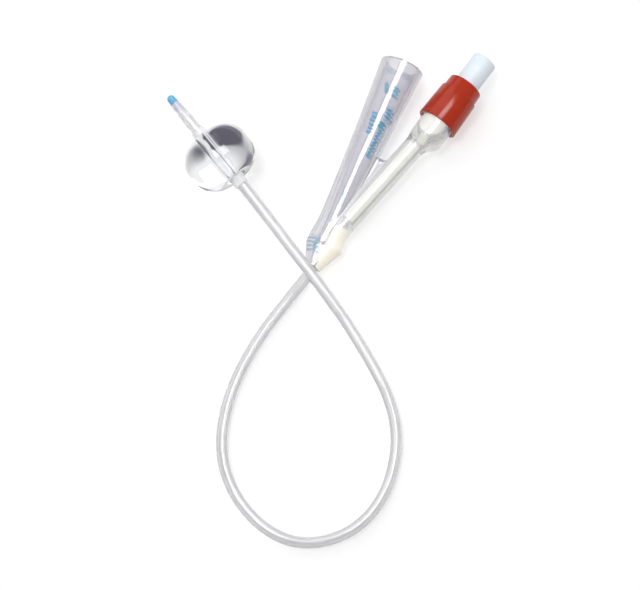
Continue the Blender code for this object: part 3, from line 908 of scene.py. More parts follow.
@dataclass
class YMoulding:
    """The clear Y moulding, in axes with +Y from its nose to the drainage mouth.

    Its fields are the sizes of the trunk, the drainage funnel and the inflation arm, which turns
    back a little where its bulb starts. Offsets to the side are + towards the arm. The moulding
    rises a little towards its mouth and towards the arm's side.
    """

    nose_point: Point = mm(20.6, -48.4, 3.824)
    rise: float = 0.052327
    roll: float = -0.02077
    length: float = 83.0 * MM
    nose_offset: float = -0.9 * MM
    nose_lean: float = math.radians(12.0)
    nose_radius: float = 2.5 * MM
    nose_stub: float = 1.5 * MM
    shoulder_at: float = 8.5 * MM
    shoulder_length: float = 0.6 * MM
    shoulder_half_height: float = 4.1 * MM
    crotch_at: float = 46.5 * MM
    web_shoulder: float = 3.6 * MM
    web_crotch: float = 2.5 * MM
    web_overlap: float = 1.5 * MM
    drain_shoulder_radius: float = 4.85 * MM
    drain_shoulder_offset: float = -2.1 * MM
    waist_at: float = 20.0 * MM
    waist_radius: float = 5.05 * MM
    waist_offset: float = -1.0 * MM
    waist_bore: float = 2.3 * MM
    mouth_radius: float = 8.15 * MM
    mouth_bore: float = 5.95 * MM
    flare_power: float = 1.3
    fork_at: float = 9.1 * MM
    arm_angle: float = math.radians(18.5)
    arm_radius: float = 4.1 * MM
    arm_shoulder_offset: float = 2.5 * MM
    arm_bend_at: float = 16.4 * MM
    branch_start: float = 20.0 * MM
    arm_bore: float = 1.8 * MM
    arm_bore_start: float = 12.0 * MM
    throat_share: float = 0.4
    inflation_widening: Pair = (1.5, 2.0)
    bore_overlap: float = 1.0 * MM
    bulb_start: float = 49.0 * MM
    bulb_shoulder: float = 6.0 * MM
    bulb_radius: float = 6.25 * MM
    bulb_offset: float = 1.2 * MM
    bulb_angle: float = math.radians(13.7)
    neck_at: float = 74.5 * MM
    neck_radius: float = 5.5 * MM
    arm_end: float = 78.4 * MM
    bore_turns: Pair = mm(50.8, 52.15)
    socket_radius: float = 4.3 * MM
    socket_cone_at: float = 53.5 * MM
    socket_floor: float = 57.5 * MM
    socket_ring: float = 61.3 * MM
    past: float = 4.0 * MM
    thin: float = 0.01 * MM
    facets: int = 96
    nose_facets: int = 64
    grain: float = 0.3 * MM
    quick_grain: float = 0.6 * MM
    smoothing: int = 24

    @property
    def place(self) -> Matrix:
        """The moulding's own axes in the row frame."""
        tip = Matrix.Rotation(self.roll, 4, "Y") @ Matrix.Rotation(self.rise, 4, "X")
        return Matrix.Translation(self.nose_point) @ tip

    @property
    def arm_place(self) -> Matrix:
        """The arm's own axes in the row frame, with +Z outwards from the fork."""
        turn = Matrix.Rotation(-self.arm_angle, 4, "Z") @ UPRIGHT_TO_FLAT
        return self.place @ Matrix.Translation((0.0, self.fork_at, 0.0)) @ turn

    @property
    def bulb_origin(self) -> Pair:
        """Side offset and distance of the point from which the bulb's own axis runs.

        Returns:
            Both measures.
        """
        at = self.bulb_start + self.bulb_shoulder
        turn, back = self.arm_angle, self.bulb_angle
        side = at * (math.sin(turn) - math.sin(back)) + self.bulb_offset * math.cos(turn)
        ahead = at * (math.cos(turn) - math.cos(back)) - self.bulb_offset * math.sin(turn)
        return side, self.fork_at + ahead

    @property
    def bulb_place(self) -> Matrix:
        """The bulb's own axes in the row frame, with +Z outwards along them.

        Returns:
            The placement.
        """
        side, at = self.bulb_origin
        turn = Matrix.Rotation(-self.bulb_angle, 4, "Z") @ UPRIGHT_TO_FLAT
        return self.place @ Matrix.Translation((side, at, 0.0)) @ turn

    def arm_ring(self, along: float, radius: float) -> Ring:
        """A round ring of the arm, which turns from its own axis into the bulb's.

        Args:
            along: Distance from the fork.
            radius: The ring's radius.

        Returns:
            The ring, in upright axes.
        """
        share = share_of(along, self.bulb_start, self.bulb_start + self.bulb_shoulder)
        side, at = self.bulb_origin
        turn, back = self.arm_angle, self.bulb_angle
        aside = between(along * math.sin(turn), side + along * math.sin(back), share)
        up = between(self.fork_at + along * math.cos(turn), at + along * math.cos(back), share)
        return Ring(up, radius, None, aside, between(turn, back, share))

    def drain(self, at: float) -> Ring:
        """The drainage tube's oval.

        Args:
            at: Distance from the nose.

        Returns:
            The ring, in upright axes.
        """
        if at < self.waist_at:
            share = share_of(at, self.shoulder_at, self.waist_at)
            offset = between(self.drain_shoulder_offset, self.waist_offset, share)
            wide = between(self.drain_shoulder_radius, self.waist_radius, share)
        else:
            flare = (at - self.waist_at) / (self.length - self.waist_at)
            offset = self.waist_offset * (1.0 - flare)
            wide = between(self.waist_radius, self.mouth_radius, flare**self.flare_power)
        rounding = share_of(at, self.shoulder_at, self.crotch_at)
        return Ring(at, wide, between(self.shoulder_half_height, wide, rounding), offset)

    def arm(self, at: float) -> Ring:
        """The arm's oval inside the trunk.

        Args:
            at: Distance from the nose.

        Returns:
            The ring, in upright axes.
        """
        share = share_of(at, self.shoulder_at, self.arm_bend_at)
        straight = (at - self.fork_at) * math.tan(self.arm_angle)
        offset = between(self.arm_shoulder_offset, straight, share)
        wide = self.arm_radius / math.cos(self.arm_angle * share)
        return Ring(at, wide, between(self.shoulder_half_height, self.arm_radius, share), offset)

    def web(self, at: float) -> Ring:
        """The web between the drainage tube and the arm.

        Args:
            at: Distance from the nose.

        Returns:
            The ring, in upright axes.
        """
        left, right = self.drain(at).aside, self.arm(at).aside
        share = share_of(at, self.shoulder_at, self.crotch_at)
        thick = between(self.web_shoulder, self.web_crotch, share)
        return Ring(at, (right - left) / 2.0 + self.web_overlap, thick, (left + right) / 2.0)

    def _nose(self) -> bpy.types.Object:
        """The chamfered nose: the hull of its leaning round end and both shoulder ovals.

        Returns:
            The nose.
        """
        lean = Matrix.Rotation(self.nose_lean, 4, "Y")
        lean = Matrix.Translation((self.nose_offset, 0.0, 0.0)) @ lean
        parts = []
        for depth in (-self.nose_stub, 0.0):
            rings = [Ring(depth - self.thin, self.nose_radius), Ring(depth, self.nose_radius)]
            parts.append(lay("nose_end", rings, self.nose_facets, lean))
        for oval in (self.drain(self.shoulder_at), self.arm(self.shoulder_at)):
            for at in (self.shoulder_at, self.shoulder_at + self.shoulder_length):
                rings = [oval._replace(at=at), oval._replace(at=at + self.thin)]
                parts.append(lay("shoulder", rings, self.nose_facets))
        pick(*parts)
        bpy.ops.object.join()
        edit(parts[0], "VERT")
        bpy.ops.mesh.convex_hull()
        bpy.ops.object.mode_set(mode="OBJECT")
        return parts[0]

    def _tubes(self) -> list[bpy.types.Object]:
        """The drainage tube, the arm, the web between them and the branch with its bulb.

        Returns:
            The four parts.
        """
        first, crotch = self.shoulder_at, self.crotch_at
        drain = [self.drain(at) for at in spread(first, self.length, 24)]
        drain.append(Ring(self.length + self.past, self.mouth_radius))
        arm = [self.arm(at) for at in spread(first, crotch, 12)]
        web = [self.web(at) for at in spread(first, crotch, 8)]
        branch = [self.arm_ring(self.branch_start, self.arm_radius)]
        for share in spread(0.0, 1.0, 8):
            radius = between(self.arm_radius, self.bulb_radius, share_of(share, 0.0, 1.0))
            branch.append(self.arm_ring(self.bulb_start + self.bulb_shoulder * share, radius))
        branch += [
            self.arm_ring(self.neck_at, self.bulb_radius),
            self.arm_ring(self.neck_at, self.neck_radius),
            self.arm_ring(self.arm_end + self.past, self.neck_radius),
        ]
        parts = (("drain", drain), ("arm", arm), ("web", web), ("branch", branch))
        return [lay(name, rings, self.facets) for name, rings in parts]

    def _nose_rings(self, passage: Passage) -> list[Ring]:
        """Two rings of a passage, outside and inside the leaning nose.

        Args:
            passage: The passage of the shaft that goes on in the nose.

        Returns:
            The rings, in upright axes.
        """
        sine, cosine = math.sin(self.nose_lean), math.cos(self.nose_lean)
        rings = []
        for inwards in (-self.bore_overlap, self.bore_overlap):
            aside = self.nose_offset + passage.aside * cosine + inwards * sine
            at = inwards * cosine - passage.aside * sine
            rings.append(Ring(at, passage.radius, None, aside, self.nose_lean))
        return rings

    def _passages(self) -> list[bpy.types.Object]:
        """Cutters for the drainage passage, the inflation passage and the valve's socket.

        Returns:
            The cutters.
        """
        drain = self._nose_rings(DRAINAGE)
        throat = between(DRAINAGE.radius, self.waist_bore, self.throat_share)
        drain.append(Ring(self.shoulder_at, throat, None, self.drain_shoulder_offset))
        steps = 16
        for step in range(steps + 2):
            flare = step / steps
            at = between(self.waist_at, self.length, flare)
            bore = between(self.waist_bore, self.mouth_bore, flare)
            drain.append(Ring(at, bore, None, self.waist_offset * max(0.0, 1.0 - flare)))
        fork_bore, arm_bore = [widening * INFLATION.radius for widening in self.inflation_widening]
        inflate = [
            *self._nose_rings(INFLATION),
            Ring(self.shoulder_at, fork_bore, None, self.arm_shoulder_offset, self.arm_angle),
            self.arm_ring(self.arm_bore_start + self.bore_overlap, arm_bore),
        ]
        narrow = (self.arm_bore_start, self.bulb_start, *self.bore_turns, self.socket_cone_at)
        wide = (self.socket_floor, self.socket_ring, self.arm_end + 0.5 * self.past)
        socket = [self.arm_ring(along, self.arm_bore) for along in narrow]
        socket += [self.arm_ring(along, self.socket_radius) for along in wide]
        parts = (("drainage", drain, self.facets), ("inflation", inflate, 24), ("socket", socket, 64))
        return [lay(name, rings, facets) for name, rings, facets in parts]

    def _finish(self) -> MouldingSilicone:
        """The milky silicone with its wedge and its bars.

        Returns:
            The finish.
        """
        rows = (
            BarRow(mm(-3.6, 4.4), mm(-4.6, 10.6), 2.6 * MM, 1.45 * MM, 0.5, 0.5, 1.2 * MM),
            BarRow(mm(-0.4, 69.1), mm(-1.8, 73.2), 0.7 * MM, 1.3 * MM, 0.45),
            BarRow(mm(-0.6, 52.0), mm(-1.4, 60.8), 1.0 * MM, 1.5 * MM, 0.42, ripple=0.7 * MM),
            BarRow(mm(2.4, 68.8), mm(2.2, 73.1), 1.0 * MM, 1.4 * MM, 0.45, 0.8),
            BarRow(mm(3.3, 59.4), mm(2.9, 64.8), 1.0 * MM, 1.4 * MM, 0.45),
            BarRow(mm(2.3, 55.7), mm(2.4, 58.4), 1.0 * MM, 1.4 * MM, 0.6),
            BarRow(mm(2.0, 44.4), mm(2.6, 55.8), 0.65 * MM, 1.3 * MM, 0.5, 0.9),
            BarRow(mm(-2.1, 76.7), mm(-2.8, 78.5), 1.2 * MM, 0.9 * MM, 0.5, 0.3),
            BarRow(mm(4.4, 76.4), mm(3.9, 79.0), 1.6 * MM, 0.9 * MM, 0.5, 0.25),
            BarRow(mm(0.31, 24.4), mm(-1.48, 31.6), 0.3 * MM, 1.3 * MM, 0.7, 0.35),
            BarRow(mm(-1.2, 16.8), mm(-0.3, 18.2), 0.45 * MM, 0.7 * MM, 0.6, 0.5),
        )
        return MouldingSilicone(
            placement=self.place,
            arm_place=self.arm_place,
            bulb_place=self.bulb_place,
            drain=Silicone("clear_silicone", (0.75, 0.745, 0.79), 0.08, clear=0.85, wave=0.03, gloss=0.5),
            arm_colour=(0.72, 0.715, 0.73),
            cream=Silicone("wedge_silicone", (1.0, 0.95, 0.83), 0.15, clear=0.06, wave=0.03, gloss=0.5),
            core_colour=(0.86, 0.86, 0.81),
            wedge_end=17.5 * MM,
            valley=0.3 * MM,
            ink_colour=(0.03, 0.27, 0.46),
            rows=rows,
        )

    def build(self) -> bpy.types.Object:
        """Grows the parts together, cuts the ends square and bores the passages.

        Returns:
            The finished moulding.
        """
        parts = [self._nose(), *self._tubes()]
        pick(*parts)
        bpy.ops.object.join()
        skin = parts[0]
        skin.name = skin.data.name = "y_moulding"
        grain = self.grain
        finish_with(skin, "REMESH", mode="VOXEL", voxel_size=grain, adaptivity=0.0)
        finish_with(skin, "SMOOTH", factor=0.5, iterations=self.smoothing)
        back = Vector((-math.sin(self.nose_lean), -math.cos(self.nose_lean), 0.0))
        slice_off(skin, (self.nose_offset, 0.0, 0.0), back)
        slice_off(skin, (0.0, self.length, 0.0), (0.0, 1.0, 0.0))
        end = self.arm_ring(self.arm_end, self.neck_radius)
        slice_off(skin, (end.aside, end.at, 0.0), (math.sin(end.lean), math.cos(end.lean), 0.0))
        for cutter in self._passages():
            cut(skin, cutter)
        weld(skin, reach=0.005 * MM)
        smooth(seat(skin, self.place), degrees=40.0)
        dress(skin, self._finish())
        return hand_over(skin, "y_connector")


@dataclass
class InflationValve:
    """The size sleeve and the check valve, on the bulb's axis from the fork outwards.

    Depths are measured inwards from the valve's end. The plug's profile runs from its outer face
    to its domed tail, as pairs of depth and radius.
    """

    axis: Matrix
    sleeve_start: float = 61.3 * MM
    sleeve_length: float = 18.1 * MM
    sleeve_radius: float = 7.75 * MM
    sleeve_step_radius: float = 7.3 * MM
    sleeve_bore: float = 6.55 * MM
    ring_length: float = 4.6 * MM
    ring_radius: float = 6.75 * MM
    rim_radius: float = 6.55 * MM
    ring_bore: float = 5.8 * MM
    valve_end: float = 91.6 * MM
    head_radius: float = 4.65 * MM
    head_depth: float = 12.9 * MM
    barrel_radius: float = 4.0 * MM
    barrel_depth: float = 30.0 * MM
    luer_radius: float = 2.15 * MM
    luer_taper: float = 0.03
    luer_depth: float = 7.5 * MM
    seat_bore: float = 1.35 * MM
    seat_depth: float = 9.0 * MM
    chamber_radius: float = 2.6 * MM
    chamber_depth: float = 10.2 * MM
    plug_bore: float = 0.8 * MM
    plug_profile: tuple[Pair, ...] = (
        mm(22.4, 2.3), mm(30.3, 2.3), mm(30.3, 3.7), mm(31.5, 3.7),
        mm(31.6, 3.2), mm(33.6, 3.0), mm(35.2, 2.4), mm(36.3, 1.5),
    )
    spring_depth: float = 12.952 * MM
    spring_length: float = 8.6 * MM
    spring_radius: float = 1.6 * MM
    spring_turns: int = 6
    turn_steps: int = 28
    wire_radius: float = 0.18 * MM
    flat_turn: float = 0.8
    flat_rise: float = 0.66 * MM

    def build(self) -> list[bpy.types.Object]:
        """Turns the visible pieces and dresses the frame's own inner ones.

        Returns:
            The new pieces.
        """
        inner = {
            "valve_plunger": Moulded("plunger_plastic", (0.74, 0.78, 0.82), (0.80, 0.83, 0.86), 0.32),
            "valve_seal": Moulded("seal_rubber", (0.05, 0.05, 0.055), (0.09, 0.09, 0.1), 0.55),
        }
        for name, finish in inner.items():
            dress(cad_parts[name], finish)
            LOG.info("%s: dressed", name)
        return [self._sleeve(), self._housing(), self._retainer(), self._spring()]

    def _sleeve(self) -> bpy.types.Object:
        """The red ring, which narrows a little and steps down near its outer end.

        Returns:
            The finished ring.
        """
        start, end = self.sleeve_start, self.sleeve_start + self.sleeve_length
        step = end - self.ring_length
        rings = [
            Ring(start, self.sleeve_bore), Ring(start, self.sleeve_radius),
            Ring(step, self.sleeve_step_radius), Ring(step, self.ring_radius),
            Ring(end, self.rim_radius), Ring(end, self.ring_bore),
            Ring(step, self.ring_bore), Ring(step, self.sleeve_bore),
        ]
        sleeve = soften(loft("size_sleeve_ring", rings, facets=128, looped=True), width=0.22 * MM)
        colours = (0.37, 0.026, 0.008), (0.39, 0.029, 0.009)
        dress(sleeve, Moulded("red_plastic", *colours, 0.12, grain=0.0, shine=0.3))
        return hand_over(seat(sleeve, self.axis), "size_sleeve")

    def _housing(self) -> bpy.types.Object:
        """The white valve body with its luer mouth.

        Returns:
            The finished housing.
        """
        luer_end = self.luer_radius - self.luer_taper * self.luer_depth
        profile = (
            (0.0, self.luer_radius), (0.0, self.head_radius),
            (self.head_depth, self.head_radius), (self.head_depth, self.barrel_radius),
            (self.barrel_depth, self.barrel_radius), (self.barrel_depth, self.chamber_radius),
            (self.chamber_depth, self.chamber_radius), (self.seat_depth, self.seat_bore),
            (self.luer_depth, self.seat_bore), (self.luer_depth, luer_end),
        )
        rings = [Ring(self.valve_end - depth, radius) for depth, radius in profile]
        body = soften(loft("valve_housing", rings, facets=96, looped=True), width=0.3 * MM)
        colours = (0.70, 0.76, 0.82), (0.73, 0.79, 0.84)
        dress(body, Moulded("white_plastic", *colours, 0.38, scatter=0.2))
        return hand_over(seat(body, self.axis), "valve_body")

    def _retainer(self) -> bpy.types.Object:
        """The pierced plug whose domed tail shows through the bulb.

        Returns:
            The finished plug.
        """
        face, tail = self.plug_profile[0][0], self.plug_profile[-1][0]
        profile = ((face, self.plug_bore), *self.plug_profile, (tail, self.plug_bore))
        rings = [Ring(self.valve_end - depth, radius) for depth, radius in profile]
        plug = soften(loft("valve_plug", rings, facets=64, looped=True), width=0.15 * MM)
        colours = (0.90, 0.90, 0.90), (0.94, 0.94, 0.92)
        dress(plug, Moulded("plug_plastic", *colours, 0.4, scatter=0.2))
        return hand_over(seat(plug, self.axis), "valve_retainer")

    def _spring(self) -> bpy.types.Object:
        """The compression spring, which stands on the plug.

        Returns:
            The finished spring.
        """
        outer = self.valve_end - self.spring_depth
        flat = self.flat_turn / self.spring_turns
        steps = self.turn_steps * self.spring_turns
        line = []
        for step in range(steps + 1):
            share = step / steps
            rise = min(1.0, max(0.0, (share - flat) / (1.0 - 2.0 * flat)))
            ends = self.flat_rise * (min(share, flat) + max(0.0, share - 1.0 + flat)) / flat
            depth = ends + rise * (self.spring_length - 2.0 * self.flat_rise)
            turn = math.tau * self.spring_turns * share
            around = Vector((math.cos(turn), -math.sin(turn), 0.0))
            line.append(self.spring_radius * around + Vector((0.0, 0.0, outer - depth)))
        coil = seat(sweep("spring_coil", line, self.wire_radius, rounds=4), self.axis)
        smooth(coil, degrees=60.0)
        dress(coil, Moulded("spring_wire", (0.6, 0.6, 0.62), (0.7, 0.7, 0.72), 0.22, 1.0))
        stands = self.axis @ Vector((0.0, 0.0, outer - self.spring_length))
        follows = self.axis @ Vector((0.0, 0.0, outer))
        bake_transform(coil)
        return stand_in(coil, "valve_spring")


@dataclass
class BalloonEnd:
    """The filled balloon, the clear tip with its eyes and the blue cap, on one rising line.

    Distances are measured from the balloon's middle towards the tip. The taper's middle ring lies
    at a share of its length, where it has a share of its narrowing. An eye has its distance and
    the side it opens to.
    """

    middle: Point = mm(-25.9, -25.6, 12.75)
    heading: float = math.radians(151.7)
    rise: float = math.radians(5.3)
    radius: float = 12.7 * MM
    half_length: float = 10.6 * MM
    squareness: float = 2.5
    dimple: float = 1.1 * MM
    dimple_radius: float = 2.6 * MM
    collar: float = 2.8 * MM
    cuff_radius: float = 2.45 * MM
    cuff_length: float = 3.4 * MM
    cuff_edge: float = 0.15 * MM
    tube_radius: float = 2.0 * MM
    lumen: float = 1.1 * MM
    tip_start: float = 11.1 * MM
    tint: Pair = mm(22.0, 24.0)
    taper_start: float = 22.9 * MM
    taper_radius: float = 1.6 * MM
    taper_middle: Pair = (0.55, 0.4)
    clear_end: float = 26.1 * MM
    tip_end: float = 29.6 * MM
    cap_radius: float = 1.5 * MM
    cap_foot: float = 1.2 * MM
    cap_gap: float = 0.05 * MM
    cap_chamfer: float = 0.05 * MM
    cap_pole: float = 0.02 * MM
    eyes: tuple[Pair, ...] = ((17.6 * MM, 1.0), (20.2 * MM, -1.0))
    eye_half_length: float = 2.1 * MM
    eye_half_width: float = 0.85 * MM
    eye_reach: float = 3.0 * MM

    @property
    def place(self) -> Matrix:
        """The line's own axes in the row frame, with +Z from the balloon to the tip.

        Returns:
            The placement.
        """
        heading = Matrix.Rotation(self.heading, 4, "Z")
        tilt = Matrix.Rotation(math.pi / 2.0 - self.rise, 4, "Y")
        return Matrix.Translation(self.middle) @ heading @ tilt

    @property
    def cuff(self) -> float:
        """Distance from the balloon's middle to the end of either cuff."""
        return self.half_length - self.dimple + self.cuff_length

    def build(self) -> list[bpy.types.Object]:
        """Builds the three pieces."""
        return [self._balloon(), self._tip(), self._cap()]

    def _balloon(self) -> bpy.types.Object:
        """The balloon as one body of water in its skin, dimpled where it meets its cuffs.

        Returns:
            The finished balloon.
        """
        edge, thin = self.cuff_edge, self.cuff_radius - self.cuff_edge
        rings = [Ring(-self.cuff, thin), Ring(-self.cuff + edge, self.cuff_radius)]
        power = 2.0 / self.squareness
        steps = 40
        for step in range(-steps, steps + 1):
            turn = math.pi / 2.0 * step / steps
            wide = max(self.collar, self.radius * abs(math.cos(turn)) ** power)
            along = self.half_length * math.copysign(abs(math.sin(turn)) ** power, turn)
            sunk = self.dimple * math.exp(-(((wide - self.collar) / self.dimple_radius) ** 2))
            rings.append(Ring(along - math.copysign(sunk, turn), wide))
        rings += [Ring(self.cuff - edge, self.cuff_radius), Ring(self.cuff, thin)]
        balloon = smooth(loft("filled_balloon", rings, facets=128), degrees=50.0)
        skin = Silicone("balloon_silicone", (0.95, 0.955, 0.97), 0.0, ior=1.345, wave=0.01)
        cuffs = Silicone("cuff_silicone", (0.97, 0.97, 0.98), 0.1, ior=1.1, clear=0.4, gloss=0.4)
        dress(balloon, skin, cuffs)
        for face in balloon.data.polygons:
            if abs(face.center.z) > self.cuff - self.cuff_length:
                face.material_index = 1
        return hand_over(seat(balloon, self.place), "balloon")

    def _tip(self) -> bpy.types.Object:
        """The clear tip with its two drainage eyes.

        Returns:
            The finished tip.
        """
        rings = [
            Ring(self.tip_start, self.lumen), Ring(self.tip_start, self.tube_radius),
            Ring(self.taper_start, self.tube_radius),
            Ring(
                between(self.taper_start, self.clear_end, self.taper_middle[0]),
                between(self.tube_radius, self.taper_radius, self.taper_middle[1]),
            ),
            Ring(self.clear_end, self.taper_radius), Ring(self.clear_end, self.lumen),
        ]
        tip = loft("clear_tip", rings, facets=64, looped=True)
        sideways = Matrix(((0, 1, 0, 0), (0, 0, 1, 0), (1, 0, 0, 0), (0, 0, 0, 1)))
        for at, way in self.eyes:
            reaches = (0.0, way * self.eye_reach)
            ends = [Ring(reach, self.eye_half_length, self.eye_half_width) for reach in reaches]
            cut(tip, seat(loft("eye", ends, facets=48), Matrix.Translation((0.0, 0.0, at)) @ sideways))
        weld(tip, reach=0.03 * MM)
        soften(tip, width=0.12 * MM)
        seat(tip, self.place)
        body = Silicone("tip_silicone", (0.86, 0.855, 0.865), 0.06, clear=0.65, wave=0.0, gloss=0.8)
        dress(tip, TippedSilicone(body, (0.76, 0.78, 0.88), self.place, *self.tint))
        return hand_over(tip, "tip_moulding")

    def _cap(self) -> bpy.types.Object:
        """The soft blue end.

        Returns:
            The finished cap.
        """
        base = self.clear_end + self.cap_gap
        rings = [Ring(base, self.cap_foot), Ring(base + self.cap_chamfer, self.taper_radius)]
        dome = self.tip_end - self.cap_radius
        for turn in spread(0.0, math.pi / 2.0, 13):
            radius = max(self.cap_pole, self.cap_radius * math.cos(turn))
            rings.append(Ring(dome + self.cap_radius * math.sin(turn), radius))
        cap = smooth(loft("blue_cap", rings, facets=64), degrees=60.0)
        colours = (0.12, 0.45, 0.66), (0.15, 0.49, 0.70)
        dress(cap, Moulded("blue_silicone", *colours, 0.3, grain=0.05, scatter=0.5))
        return hand_over(seat(cap, self.place), "tip_cap")


@dataclass
class Shaft:
    """The flexible two-passage tube, a cord on a route of chosen points in millimetres."""

    route: tuple[Point, ...] = (
        (19.638, -48.693, 3.789), (19.287, -50.354, 3.694),
        (18.8, -53.0, 3.4), (17.8, -56.6, 3.02), (16.6, -60.6, 2.6), (15.3, -65.6, 2.22),
        (13.7, -71.6, 2.02), (12.4, -77.7, 2.0), (11.1, -87.6, 2.0), (10.7, -97.6, 2.0),
        (11.4, -106.4, 2.0), (13.1, -114.4, 2.0), (15.9, -121.8, 2.0), (20.0, -128.4, 2.0),
        (25.8, -134.3, 2.0), (32.8, -138.9, 2.0), (40.9, -142.0, 2.0), (49.4, -142.8, 2.0),
        (57.1, -140.8, 2.0), (63.8, -136.5, 2.0), (69.2, -130.4, 2.0), (72.7, -122.6, 2.0),
        (74.1, -113.9, 2.0), (73.4, -105.1, 2.0), (71.2, -96.7, 2.0), (67.2, -88.7, 2.0),
        (61.6, -81.6, 2.0), (56.0, -76.3, 2.1), (49.2, -70.8, 2.75), (38.6, -63.2, 4.55),
        (29.8, -57.7, 6.25), (21.0, -52.4, 7.7), (10.7, -46.4, 8.82), (0.2, -40.15, 9.92),
        (-11.873, -33.153, 11.272), (-18.886, -29.377, 12.011), (-25.9, -25.6, 12.75),
        (-35.369, -20.502, 13.748),
    )
    radius: float = 2.0 * MM
    length: float = 0.309

    def line(self) -> list[Vector]:
        """Reads close points from the smooth curve through the route.

        Returns:
            The points.
        """
        route = [Vector(point) * MM for point in self.route]
        last = len(route) - 1
        fine = []
        for number in range(last):
            start, end = route[number], route[number + 1]
            before, after = route[max(number - 1, 0)], route[min(number + 2, last)]
            for step in range(10):
                t = step / 10
                bend = (2.0 * before - 5.0 * start + 4.0 * end - after) * t**2
                bend += (3.0 * start - before - 3.0 * end + after) * t**3
                fine.append(0.5 * (2.0 * start + (end - before) * t + bend))
        return [*fine, route[last]]

    def _tube(
        self, line: Sequence[Vector], radius: float, offset: float, rounds: int
    ) -> bpy.types.Object:
        """A round tube beside the line.

        Args:
            line: The shaft's middle.
            radius: The tube's radius.
            offset: How far it runs to the side of the middle.
            rounds: Bevel resolution.

        Returns:
            The tube as a mesh.
        """
        beside = []
        for number, point in enumerate(line):
            ahead, behind = line[min(number + 1, len(line) - 1)], line[max(number - 1, 0)]
            side = (ahead - behind).cross(Vector((0.0, 0.0, 1.0))).normalized()
            beside.append(point + side * offset)
        return sweep("shaft", beside, radius, rounds)

    def build(self, balloon: BalloonEnd) -> bpy.types.Object:
        """Args:
            balloon: The balloon, inside which the tube lies in water.

        Returns:
            The finished shaft.
        """
        line = self.line()
        outer = self._tube(line, self.radius, offset=0.0, rounds=12)
        passages = []
        for lumen in (DRAINAGE, INFLATION):
            passage = self._tube(line[1:-1], lumen.radius, lumen.aside, rounds=8)
            edit(passage, "FACE")
            bpy.ops.mesh.flip_normals()
            bpy.ops.object.mode_set(mode="OBJECT")
            passages.append(passage)
        pick(outer, *passages)
        bpy.ops.object.join()
        outer.name = outer.data.name = "shaft"
        smooth(outer, degrees=50.0)
        dry = Silicone("shaft_silicone", (0.80, 0.80, 0.81), 0.06, clear=0.65, wave=0.0, gloss=0.8)
        wet = Silicone("shaft_in_water", (0.97, 0.97, 0.98), 0.02, ior=1.05, wave=0.0)
        dress(outer, dry, wet)
        inwards = balloon.place.inverted()
        for face in outer.data.polygons:
            spot = inwards @ face.center
            if abs(spot.z) < balloon.cuff and math.hypot(spot.x, spot.y) < 1.5 * self.radius:
                face.material_index = 1
        hand_over(outer, "shaft_tube")
        return outer


class Lamp(NamedTuple):
    """A square soft lamp: its name, place, side, power and whether it casts a shadow."""

    name: str
    place: Point
    size: float
    watts: float
    shadow: bool = True


@dataclass(frozen=True)
class TableShade:
    """A painted shadow: the balloon's shadow, painted as a dark shape on the table that shows only
    through clear pieces.

    It is measured from the balloon's foot, to the right and away from the camera. Each pair says
    where a soft edge starts and where it ends.

    Attributes:
        foot: The balloon's foot on the table.
        lean: How much its right part leans towards the camera on the right.
        soft_ahead: The near edge of the soft right part.
        soft_side: Its left edge.
        sharp_ahead: The near edge of the sharper part over it.
        sharp_side: Its left edge.
        left_ahead: The near edge of the left part.
        left_side: Its right edge.
        sides: The left and the right end of the whole shape.
        sides_soft: Half the width of both ends.
        far_edge: Its far edge.
        pale: The colour beside the shape.
        dark: The colour of the painted shadow.
    """

    foot: Pair = mm(-25.9, -25.6)
    lean: float = 0.27
    soft_ahead: Pair = mm(5.2, 9.0)
    soft_side: Pair = mm(0.0, 1.2)
    sharp_ahead: Pair = mm(6.7, 7.5)
    sharp_side: Pair = mm(-1.1, -0.7)
    left_ahead: Pair = mm(4.0, 7.2)
    left_side: Pair = mm(-2.8, -1.6)
    sides: Pair = mm(-4.5, 5.0)
    sides_soft: float = 0.5 * MM
    far_edge: Pair = mm(20.0, 24.0)
    pale: Colour = (0.91, 0.91, 0.91)
    dark: Colour = (0.05, 0.045, 0.08)

    def colour(self, board: NodeBoard, eye: Point) -> Signal:
        """The table's colour with the painted shadow on it.

        Args:
            board: The table's board.
            eye: Where the camera stands.

        Returns:
            The colour.
        """
        away = Vector((self.foot[0] - eye[0], self.foot[1] - eye[1], 0.0))
        turn = Matrix.Rotation(math.atan2(away.y, away.x) - math.pi / 2.0, 4, "Z")
        side, ahead, _ = board.own_axes(Matrix.Translation((*self.foot, 0.0)) @ turn)
        # The painted shadow of the balloon: dark beside and ahead of its foot, fading at the edges.
        leaning = ahead + self.lean * side
        soft = leaning.ramp(*self.soft_ahead) * side.ramp(*self.soft_side)
        sharp = leaning.ramp(*self.sharp_ahead) * side.ramp(*self.sharp_side)
        left = ahead.ramp(*self.left_ahead) * (1.0 - side.ramp(*self.left_side))
        near = side.within(*self.sides, self.sides_soft) * (1.0 - ahead.ramp(*self.far_edge))
        return board.tint((soft | sharp | left) * near, self.pale, self.dark)


